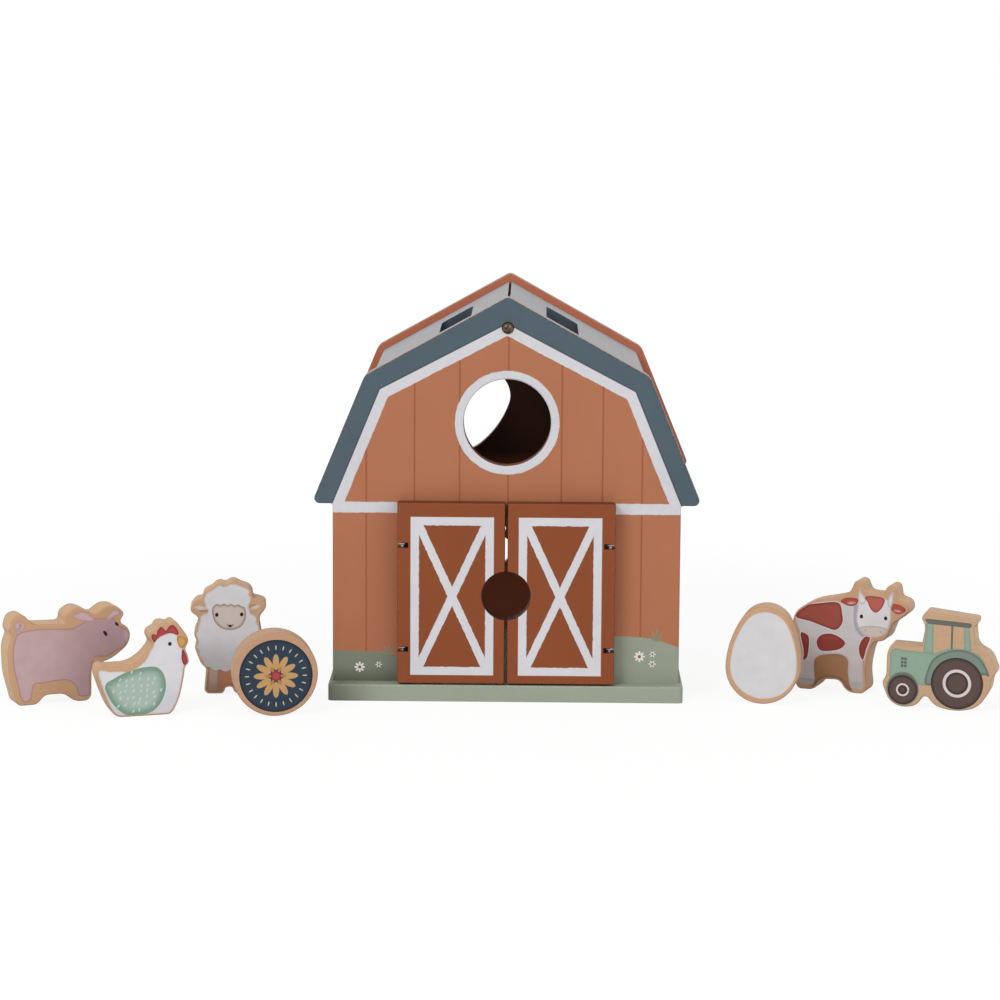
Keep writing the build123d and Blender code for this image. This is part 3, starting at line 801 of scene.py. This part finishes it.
block_thickness = 15.0
block_frame, given = start_group(
    "block_frame", {"Place": VECTOR, "Normal": VECTOR, "Middle": VECTOR, "Turn": NUMBER},
    {"Local": VECTOR, "Facing": NUMBER},
)
moved = add(block_frame, "ShaderNodeVectorMath", {0: given["Place"], 1: given["Middle"]},
            operation="SUBTRACT")[0]
back_turn = given["Turn"] * -1.0
add(block_frame, "NodeGroupOutput", {
    "Local": turned(moved, back_turn), "Facing": abs(split(turned(given["Normal"], back_turn))[1]),
})


def block_wood(name, origin, turn, tone):
    """Sanded beech of the given tone, with painted shade on its rounded edges, back edge and downward faces,
    and painted light on its sides.
    """
    material, place, direction = start_material(name)
    seated = use_group(block_frame, Place=place, Normal=direction, Middle=tuple(origin),
                       Turn=math.radians(turn))
    wood = use_group(bare_wood, Colour=linear(*tone), Place=seated["Local"])
    aside = ramp(seated["Facing"], 0.97, 0.6)
    # painted light: the sides are a brighter copy of the face's wood
    painted_light_sides = add(place.tree, "ShaderNodeVectorMath", {0: wood["Colour"], 1: (1.1, 1.18, 1.22)},
                operation="MULTIPLY")[0]
    # painted shade on the rounded edges between the front face and the sides
    painted_shade_rounding = aside * ramp(seated["Facing"], 0.2, 0.55)
    colour = blend(painted_shade_rounding * 0.4, blend(aside, wood["Colour"], painted_light_sides), linear(140, 97, 71))
    # painted shade on the back edge and on faces that look downwards
    depth = split(seated["Local"])[1]
    painted_shade_far_edge = ramp(abs(depth - block_thickness / 2), 4.6, 7.0) * ramp(depth, 7.0, 8.0)
    painted_shade_underside = aside * ramp(split(direction)[2], -0.1, -0.8)
    colour = blend(highest(painted_shade_far_edge * 0.7, painted_shade_underside * 0.6), colour, linear(120, 92, 74))
    finish_material(colour, wood["Roughness"], wood["Height"], 0.06, Specular_IOR_Level=0.25)
    return material


def print_block(name, across, along, turn, shapes, ready_films=(), tone=(199, 159, 124)):
    """Dresses a block and prints its front. Each shape is an outline, a level and an ink."""
    axes, origin = block_axes(across, along, turn)
    dress(name, block_wood(name + "_wood", origin, turn, tone))
    allowed = flat_outline(name, axes, origin)
    films = [ink_film(outline, level, film_ink, allowed) for outline, level, film_ink in shapes]
    films += ready_films
    ink_mesh(name + "_print", films, name, lambda points: points @ axes + origin)


pig_pink = ink("pig_ink", (193, 164, 166), (172, 128, 122), 1.1, ((182, 151, 155), 0, -250.0, -226.0))
pig_ear = ink("pig_ear_ink", (203, 174, 178), (182, 146, 146), 1.2)
pig_snout = ink("pig_snout_ink", (204, 176, 180), (182, 151, 155), 1.6)
tail_line = ink("tail_line_ink", (146, 98, 104))
dark_eye = ink("dark_eye_ink", (34, 24, 24))
pig_body = smooth_loop([
    (-29.1, 40.1), (-24.1, 41.5), (-16.6, 41.9), (-9.1, 41.6), (-1.1, 41.0), (3.4, 41.7), (7.5, 43.9),
    (10.3, 44.9), (14.1, 45.6), (17.6, 45.6), (21.2, 45.1), (24.8, 45.4), (27.8, 40.9), (31.3, 39.2),
    (33.6, 37.5), (34.1, 34.5), (33.3, 31.5), (31.2, 28.7), (26.1, 26.6), (22.0, 24.4), (18.4, 23.9),
    (14.8, 24.2), (13.0, 22.1), (12.7, 17.1), (11.6, 12.2), (11.6, 7.2), (11.0, 3.2), (8.5, 2.7),
    (4.9, 3.0), (3.7, 6.8), (2.5, 9.4), (0.0, 11.6), (-3.0, 12.6), (-9.6, 12.4), (-15.6, 11.6),
    (-19.6, 11.7), (-20.9, 9.8), (-21.7, 4.9), (-23.0, 2.5), (-25.3, 1.7), (-28.0, 3.9), (-29.1, 9.5),
    (-30.5, 15.5), (-31.9, 23.0), (-32.0, 30.5), (-30.9, 36.3),
], 3)
print_block("pig_block", -238.5, -103.9, 24.5, [
    (stroke([(-29.6, 42.6), (-28.8, 40.9), (-27.2, 39.5)], 2.2), 0.05, pig_ear),
    (pig_body, 0.06, pig_pink),
    (smooth_loop([
        (1.7, 47.8), (6.1, 49.9), (10.1, 49.0), (14.3, 45.4), (13.6, 43.8), (9.6, 44.4), (5.4, 45.4),
    ]), 0.08, pig_ear),
    (smooth_loop([
        (20.6, 44.6), (22.0, 47.6), (25.2, 49.8), (28.4, 49.5), (29.3, 48.0), (27.6, 46.5), (24.6, 45.4),
        (22.6, 43.9),
    ]), 0.08, pig_ear),
    (oval(-28.1, 44.4, 3.0, 2.7), 0.07, pig_ear),
    (stroke([(-29.5, 43.5), (-28.1, 43.0), (-26.9, 43.9), (-27.2, 45.4), (-28.6, 45.8)], 0.35),
     0.09, tail_line),
    (oval(-28.0, 44.5, 0.5, 0.4), 0.09, tail_line),
    (oval(32.2, 35.0, 1.7, 3.3), 0.08, pig_snout),
    (oval(20.2, 37.0, 0.85, 1.75, 36.0), 0.1, dark_eye),
    (oval(26.8, 41.7, 0.7, 1.35, 40.0), 0.1, dark_eye),
])


# Hen block: the same wood, with a white hen whose sage wing carries rows of
# small pale dashes.
dash_field, given = start_growth(
    "dash_field", ("Field Wide", "Field Tall", "Jitter", "Length", "Width", "Thickness", "Tilt", "Spread"),
    ("Columns", "Rows", "Seed"),
)
grid = add(dash_field, "GeometryNodeMeshGrid", {
    "Size X": given["Field Wide"], "Size Y": given["Field Tall"],
    "Vertices X": given["Columns"], "Vertices Y": given["Rows"],
})["Mesh"]
spot = split(add(dash_field, "GeometryNodeInputPosition")[0])
across = spot[0] / (given["Field Wide"] * 0.5)
height = spot[1] / (given["Field Tall"] * 0.5)
outside = calc("GREATER_THAN", across * across + height * height, 1.05)
round_field = add(dash_field, "GeometryNodeDeleteGeometry", {"Geometry": grid, "Selection": outside})[0]
shift_high = add(dash_field, "ShaderNodeCombineXYZ", {0: given["Jitter"], 1: given["Jitter"], 2: 0.0})[0]
shift = add(dash_field, "FunctionNodeRandomValue", {
    "Min": scaled(shift_high, -1.0), "Max": shift_high, "Seed": given["Seed"],
}, data_type="FLOAT_VECTOR")[0]
scattered = add(dash_field, "GeometryNodeSetPosition", {"Geometry": round_field, "Offset": shift})[0]
lean = add(dash_field, "FunctionNodeRandomValue", {
    2: given["Tilt"] - given["Spread"], 3: given["Tilt"] + given["Spread"], "Seed": given["Seed"],
})[1]
finish_growth(dash_field, given, scattered, 10, lean)

hen_white = ink("hen_ink", (217, 216, 220), (200, 194, 196), 1.0, ((206, 205, 211), 2, 25.0, 5.0))
wing_sage = ink("wing_ink", (168, 186, 174), (116, 150, 128), 5.5)
wing_dash = ink("wing_dash_ink", (186, 206, 194))
comb_red = ink("comb_ink", (172, 66, 72), (134, 40, 50), 1.2)
beak_ochre = ink("beak_ink", (208, 160, 88), (180, 126, 64), 1.6)
hen_body = smooth_loop([
    (-23.9, 26.1), (-18.4, 25.4), (-12.8, 25.3), (-7.7, 24.8), (-3.6, 26.6), (0.4, 29.5), (3.2, 33.4),
    (4.4, 37.3), (5.7, 39.2), (8.5, 42.3), (11.7, 43.9), (14.9, 44.6), (18.1, 43.6), (19.3, 41.3),
    (20.5, 37.2), (21.6, 34.8), (22.4, 26.7), (21.9, 21.1), (20.2, 13.1), (17.4, 6.0), (12.9, 0.6),
    (4.1, 0.4), (-9.5, 0.4), (-14.3, 0.7), (-18.6, 6.2), (-22.5, 13.6), (-24.0, 19.7),
], 4)
hen_wing = smooth_loop([
    (-20.8, 17.9), (-15.6, 21.6), (-9.2, 24.5), (-1.7, 26.4), (4.3, 26.9), (8.3, 25.9), (11.1, 22.5),
    (12.3, 17.6), (11.8, 12.4), (8.9, 6.1), (4.1, 2.0), (-3.9, 0.5), (-9.5, 1.2), (-14.6, 5.1), (-18.5, 10.6),
], 4)
hen_comb = [(4.1, 43.3), (5.8, 44.6), (7.5, 44.0), (8.0, 46.6), (9.3, 48.3), (11.2, 47.6), (12.5, 46.1),
            (14.6, 48.6), (16.5, 49.1), (18.6, 46.8), (19.5, 43.7), (14.9, 44.0), (10.5, 42.6), (7.3, 40.4),
            (5.3, 38.3), (4.3, 40.6)]
wing_dashes = grown_film(
    dash_field, wing_dash, Field_Wide=0.0262, Field_Tall=0.0205, Columns=8, Rows=7, Jitter=0.0008,
    Length=0.00105, Width=0.00055, Thickness=0.0002, Tilt=1.1, Spread=0.35, Seed=4,
    Middle=(-0.0036, 0.0, 0.0137),
)
print_block("hen_block", -194.3, -137.5, 18.5, [
    (smooth_loop(hen_comb, 3), 0.05, comb_red),
    (smooth_loop([
        (21.6, 35.4), (23.2, 33.1), (24.8, 29.4), (24.4, 27.2), (23.0, 26.6), (21.6, 28.0), (21.0, 31.0),
    ], 4), 0.08, comb_red),
    (hen_body, 0.06, hen_white),
    (smooth_loop([(18.6, 42.0), (21.7, 42.4), (24.6, 40.2), (23.6, 37.9), (21.2, 36.2), (19.4, 37.6)], 4),
     0.08, beak_ochre),
    (hen_wing, 0.08, wing_sage),
    (oval(14.7, 38.8, 1.0, 1.1), 0.08, dark_eye),
], [wing_dashes])


# Sheep block: the same wood. The printed sheep has an off-white scalloped fleece
# and a beige face and legs, with brown shade between the legs.
def outward_of(loop):
    """Direction out of the loop at each of its points."""
    across = np.roll(loop, 1, axis=0) - np.roll(loop, -1, axis=0)
    return np.stack([-across[:, 1], across[:, 0]], axis=1) / np.linalg.norm(across, axis=1)[:, None]


def scalloped(loop, count, depth):
    """The loop with its edge drawn out into small bumps."""
    steps = np.linalg.norm(np.roll(loop, -1, axis=0) - loop, axis=1)
    way = np.concatenate([[0.0], np.cumsum(steps)[:-1]]) / steps.sum()
    return loop + outward_of(loop) * (depth * (np.abs(np.sin(math.pi * count * way)) - 0.5))[:, None]


fleece = ink("fleece_ink", (211, 210, 213), (194, 189, 190), 1.0, ((188, 187, 190), 2, 36.0, 18.0))
sheep_face = ink("sheep_face_ink", (203, 192, 185), (156, 132, 116), 1.9)
sheep_ear = ink("sheep_ear_ink", (212, 198, 188), (186, 164, 148), 1.0)
sheep_leg = ink("sheep_leg_ink", (176, 154, 139), (146, 112, 92), 1.6, ((162, 130, 115), 2, 9.0, 3.0))
brown_shade = ink("brown_shade_ink", (172, 119, 87), (160, 104, 74), 2.0)
ear_line = ink("ear_line_ink", (160, 112, 100))
fleece_loop = anticlockwise(smooth_loop([
    (-12.8, 56.6), (-9.1, 58.9), (-4.5, 61.0), (-1.3, 60.7), (2.8, 62.1), (6.9, 61.1), (11.0, 58.3),
    (11.9, 54.6), (11.6, 50.4), (10.8, 48.2), (11.4, 46.4), (14.6, 43.2), (15.9, 39.6), (16.6, 34.0),
    (16.0, 27.0), (13.4, 20.5), (9.0, 16.2), (2.5, 13.6), (-4.8, 13.4), (-12.2, 15.8), (-15.3, 21.2),
    (-17.6, 26.8), (-18.0, 32.9), (-17.0, 38.2), (-15.2, 43.4), (-11.4, 46.4), (-11.2, 48.0), (-13.0, 49.9),
], 9))
print_block("sheep_block", -153.8, -78.3, 5.0, [
    ([(-14.0, 18.0), (14.0, 18.0), (14.0, -1.0), (-14.0, -1.0)], 0.03, brown_shade),
    (smooth_loop([(-19.6, 49.2), (-16.3, 50.3), (-12.9, 49.4), (-10.4, 47.8), (-15.0, 47.1), (-18.1, 47.7)]),
     0.05, sheep_ear),
    (smooth_loop([(10.6, 47.4), (12.6, 49.2), (15.4, 50.3), (18.6, 50.2), (17.8, 48.7), (14.9, 47.4)]),
     0.05, sheep_ear),
    (stroke([(-15.8, 46.9), (-12.8, 46.9), (-10.0, 47.4)], 0.7), 0.062, ear_line),
    (stroke([(10.8, 48.6), (12.8, 49.7), (15.0, 50.2)], 0.5), 0.062, ear_line),
    ([(-11.9, 16.0), (-5.3, 16.0), (-5.8, 0.5), (-12.0, 0.5)], 0.05, sheep_leg),
    ([(5.3, 16.0), (11.9, 16.0), (12.0, 0.5), (5.8, 0.5)], 0.05, sheep_leg),
    (scalloped(fleece_loop, 24, 1.0), 0.07, fleece),
    (smooth_loop([
        (-9.2, 46.8), (-8.2, 49.6), (-6.2, 50.8), (-4.4, 50.1), (-2.6, 50.9), (-0.6, 50.1), (1.4, 50.7),
        (3.3, 49.9), (5.3, 50.4), (7.2, 49.4), (9.2, 48.3), (9.5, 43.0), (7.2, 38.3), (3.1, 36.3),
        (-1.5, 36.3), (-5.1, 37.9), (-7.9, 41.2),
    ]), 0.09, sheep_face),
    (oval(-6.5, 44.7, 0.95, 1.15), 0.11, dark_eye),
    (oval(7.2, 44.8, 0.95, 1.15), 0.11, dark_eye),
    (oval(0.8, 38.5, 0.9, 0.6), 0.11, dark_eye),
    (stroke([(-1.0, 39.6), (-0.2, 38.3), (0.8, 37.6), (1.8, 38.3), (2.6, 39.5)], 0.35), 0.11, dark_eye),
])


# Disc block: a round of the same wood, a little deeper in tone. Its printed navy
# field carries a plain petal rosette and a ring of pale rays.
navy = ink("navy_ink", (38, 54, 70), (22, 28, 36), 1.8)
ochre = ink("ochre_ink", (190, 150, 100))
deep_ochre = ink("deep_ochre_ink", (176, 122, 70))
pale_straw = ink("pale_straw_ink", (196, 186, 158))
disc_middle = (0.2, 22.1)
print_block("disc_block", -123.3, -135.0, 10.0, [
    (oval(*disc_middle, 19.8, 19.8, count=96), 0.06, navy),
    (oval(*disc_middle, 2.7, 2.7), 0.14, comb_red),
], [
    petals(12, 7.6, 4.4, 1.75, disc_middle, ochre),
    petals(24, 15.6, 1.3, 0.34, disc_middle, pale_straw),
    petals(6, 3.9, 1.9, 0.8, disc_middle, deep_ochre, 0.24),
], (190, 149, 120))


# Egg block: the same wood, with a plain off-white oval printed inside a rim of
# bare wood.
def shrunk(loop, across_share, up_share):
    """The loop drawn in towards its middle."""
    middle = (loop.min(axis=0) + loop.max(axis=0)) / 2
    return middle + (loop - middle) * (across_share, up_share)


eggshell = ink("egg_ink", (212, 210, 212), (206, 200, 200), 0.9)
egg_axes, egg_origin = block_axes(141.0, -93.5, -11.0)
egg_print = shrunk(flat_outline("egg_block", egg_axes, egg_origin), 0.952, 0.925) + (0.7, 0.0)
print_block("egg_block", 141.0, -93.5, -11.0, [(egg_print, 0.06, eggshell)])


# Cow block: the same wood, printed with a pale cow with dark red patches. The cow
# stands side on and turns its head to the front.
cow_white = ink("cow_ink", (203, 200, 203), (180, 172, 174), 1.2, ((198, 189, 189), 2, 36.0, 12.0))
cow_head = ink("cow_head_ink", (220, 218, 221), (188, 182, 186), 1.2)
cow_shadow = ink("cow_shadow_ink", (168, 166, 174))
belly_shade = ink("belly_shade_ink", (160, 116, 82), (138, 96, 66), 2.4)
patch_red = ink("patch_ink", (156, 78, 66), (134, 52, 46), 1.8, ((140, 58, 50), 2, 38.0, 27.0))
patch_rim = ink("patch_rim_ink", (214, 206, 208))
brow_red = ink("brow_ink", (178, 94, 84), (158, 70, 62), 1.4)
ear_red = ink("cow_ear_ink", (170, 78, 70), (156, 62, 56), 1.0)
ear_pink = ink("cow_inner_ear_ink", (220, 176, 166), (196, 124, 114), 0.8)
muzzle = ink("muzzle_ink", (208, 194, 186), (194, 176, 168), 1.4)
hoof = ink("hoof_ink", (178, 178, 176))
cow_body = smooth_loop([
    (-31.9, 41.3), (-25.5, 47.7), (-18.0, 49.7), (-6.6, 51.1), (-3.2, 52.5), (4.3, 54.3), (12.0, 54.0),
    (20.0, 50.0), (21.9, 37.7), (17.1, 33.4), (12.2, 32.0), (8.9, 26.9), (7.8, 19.0), (8.2, 12.2),
    (8.0, 3.3), (4.5, 2.6), (1.0, 3.2), (-0.7, 11.4), (-0.9, 18.7), (-4.9, 21.4), (-11.0, 21.2),
    (-17.4, 19.8), (-20.3, 16.6), (-20.2, 10.0), (-20.0, 4.8), (-24.0, 3.0), (-28.5, 3.1), (-29.7, 9.0),
    (-28.0, 16.0), (-26.0, 24.1), (-29.2, 31.7),
], 3)
patches = [anticlockwise(smooth_loop(points, 4)) for points in (
    [(-31.9, 41.3), (-25.5, 47.7), (-18.0, 49.7), (-7.1, 50.8), (-4.7, 44.4), (-4.6, 39.5), (-8.2, 35.3),
     (-13.7, 36.3), (-22.8, 39.0)],
    [(-19.0, 28.5), (-16.6, 31.7), (-11.1, 32.9), (-5.6, 31.1), (-2.6, 27.9), (-6.5, 24.2),
     (-15.4, 22.7), (-18.5, 24.7)],
    [(-28.7, 31.7), (-25.4, 31.6), (-23.8, 29.6), (-23.7, 24.5), (-24.6, 18.4), (-26.8, 16.8), (-26.6, 22.0)],
    [(8.7, 32.7), (11.7, 32.5), (9.6, 26.0), (7.8, 19.5), (5.5, 23.7), (5.9, 28.6)],
)]
print_block("cow_block", 192.1, -61.9, -21.5, [
    ([(-20.8, 22.0), (0.5, 22.0), (2.0, -1.0), (-21.5, -1.0)], 0.03, belly_shade),
    (cow_body, 0.06, cow_white),
    *[(patch + 0.6 * outward_of(patch), 0.075, patch_rim) for patch in patches],
    *[(patch, 0.09, patch_red) for patch in patches],
    (smooth_loop([(2.6, 53.0), (1.8, 46.0), (2.6, 38.0), (6.5, 32.6), (10.0, 34.0), (6.0, 44.0)], 4),
     0.07, cow_shadow),
    (smooth_loop([(-5.8, 51.6), (-3.0, 53.8), (0.6, 54.2), (4.6, 53.6), (2.9, 50.3), (-1.1, 49.5)], 4),
     0.09, ear_red),
    (oval(0.6, 51.3, 2.6, 0.8, 6.0), 0.11, ear_pink),
    (smooth_loop([(23.1, 52.3), (28.0, 52.2), (31.7, 49.8), (29.6, 47.6), (26.6, 47.0), (23.6, 49.0)], 4),
     0.09, ear_red),
    (oval(27.0, 48.7, 2.4, 0.8, -6.0), 0.11, ear_pink),
    (smooth_loop([
        (4.6, 53.5), (3.9, 48.5), (3.4, 43.5), (4.3, 38.5), (7.5, 34.0), (12.2, 32.4), (17.3, 33.2),
        (21.5, 36.8), (23.3, 42.5), (23.3, 48.5), (23.0, 53.0), (19.5, 55.2), (13.0, 55.6), (7.5, 55.4),
    ], 4), 0.1, cow_head),
    (smooth_loop([(4.3, 53.0), (4.4, 57.0), (5.3, 60.6), (6.3, 57.4), (8.8, 53.4), (6.5, 50.8)], 4),
     0.12, cow_head),
    (smooth_loop([(21.2, 53.6), (22.2, 57.0), (24.2, 59.2), (24.4, 55.5), (23.6, 50.8), (21.8, 50.8)], 4),
     0.12, cow_head),
    (smooth_loop([
        (8.2, 55.2), (13.5, 56.0), (19.4, 54.8), (18.2, 50.0), (14.8, 46.8), (11.6, 48.6), (9.9, 52.2),
    ], 4), 0.12, brow_red),
    (smooth_loop([
        (5.1, 37.2), (9.0, 38.9), (14.0, 39.2), (19.0, 38.9), (22.0, 37.3), (19.5, 34.2), (13.0, 32.4),
        (7.6, 33.9),
    ], 4), 0.12, muzzle),
    (oval(8.9, 36.4, 0.7, 0.45, 10.0), 0.14, cow_shadow),
    (oval(17.6, 36.2, 0.7, 0.45, -10.0), 0.14, cow_shadow),
    (oval(6.4, 44.0, 0.95, 1.15), 0.14, dark_eye),
    (oval(20.3, 44.0, 0.95, 1.15), 0.14, dark_eye),
    ([(-28.6, 3.0), (-20.2, 3.0), (-20.3, 6.4), (-28.9, 6.4)], 0.08, hoof),
    ([(1.0, 3.0), (8.0, 3.0), (8.1, 6.6), (0.5, 6.6)], 0.08, hoof),
])


# Tractor block: the same wood, printed with a sage green tractor that has dark
# tyres with pale rings. The cab's windows are left as bare wood.
tractor_green = ink("tractor_ink", (141, 165, 148), (126, 150, 133), 1.2)
fender_grey = ink("fender_ink", (122, 138, 128), (96, 106, 98), 1.8)
dark_trim = ink("dark_trim_ink", (100, 106, 96), (84, 86, 78), 0.6)
tyre = ink("tyre_ink", (88, 71, 67), (52, 41, 39), 2.2)
wheel_shade = ink("wheel_shade_ink", (104, 108, 98), (128, 140, 126), 1.0)
ring_pale = ink("wheel_ring_ink", (216, 205, 204))
slat_places = [(across, up) for across in (-20.3, -18.5) for up in (22.5, 24.5, 26.5)]
slats = [stroke([(across, up), (across, up + 1.5)], 1.4) for across, up in slat_places]
wheels = []
for across, up, radius, ring, inner in ((-19.7, 9.9, 8.2, 3.6, 2.6), (10.0, 15.3, 14.3, 7.8, 6.2)):
    wheels += [
        (oval(across, up, radius, radius, count=72), 0.1, tyre),
        (oval(across, up, ring, ring, count=48), 0.12, ring_pale),
        (oval(across, up, inner, inner, count=40), 0.14, tyre),
    ]
print_block("tractor_block", 236.9, -104.3, -16.0, [
    (smooth_loop([
        (-26.0, 32.0), (-18.0, 31.9), (-8.7, 31.6), (-1.9, 31.5), (5.1, 34.3), (13.4, 34.3), (21.8, 31.6),
        (25.8, 24.8), (24.2, 20.6), (8.0, 16.0), (-6.9, 13.3), (-11.1, 13.4), (-19.0, 13.0), (-26.7, 16.2),
        (-26.9, 24.0),
    ], 4), 0.05, tractor_green),
    ([(-7.6, 47.9), (-3.6, 47.9), (-3.4, 31.0), (-8.8, 31.0)], 0.06, tractor_green),
    ([(13.0, 47.6), (16.0, 47.4), (17.3, 33.8), (13.5, 33.8)], 0.06, tractor_green),
    ([(6.1, 46.9), (7.2, 46.9), (7.1, 34.0), (6.1, 34.0)], 0.06, fender_grey),
    ([(-8.6, 49.8), (-7.0, 50.2), (16.6, 49.0), (17.3, 48.0), (16.4, 46.5), (-6.4, 47.6)], 0.08, dark_trim),
    (smooth_loop([
        (-7.6, 14.0), (-6.6, 21.0), (-3.1, 28.4), (5.1, 33.2), (13.4, 33.9), (20.6, 31.2), (25.2, 26.0),
        (27.4, 20.4), (24.0, 21.0), (10.0, 20.0), (-2.0, 14.0),
    ], 4), 0.07, fender_grey),
    (oval(-19.7, 10.6, 9.0, 9.4, count=60), 0.06, wheel_shade),
    *[(slat, 0.08, dark_trim) for slat in slats],
    *wheels,
], tone=(196, 161, 130))
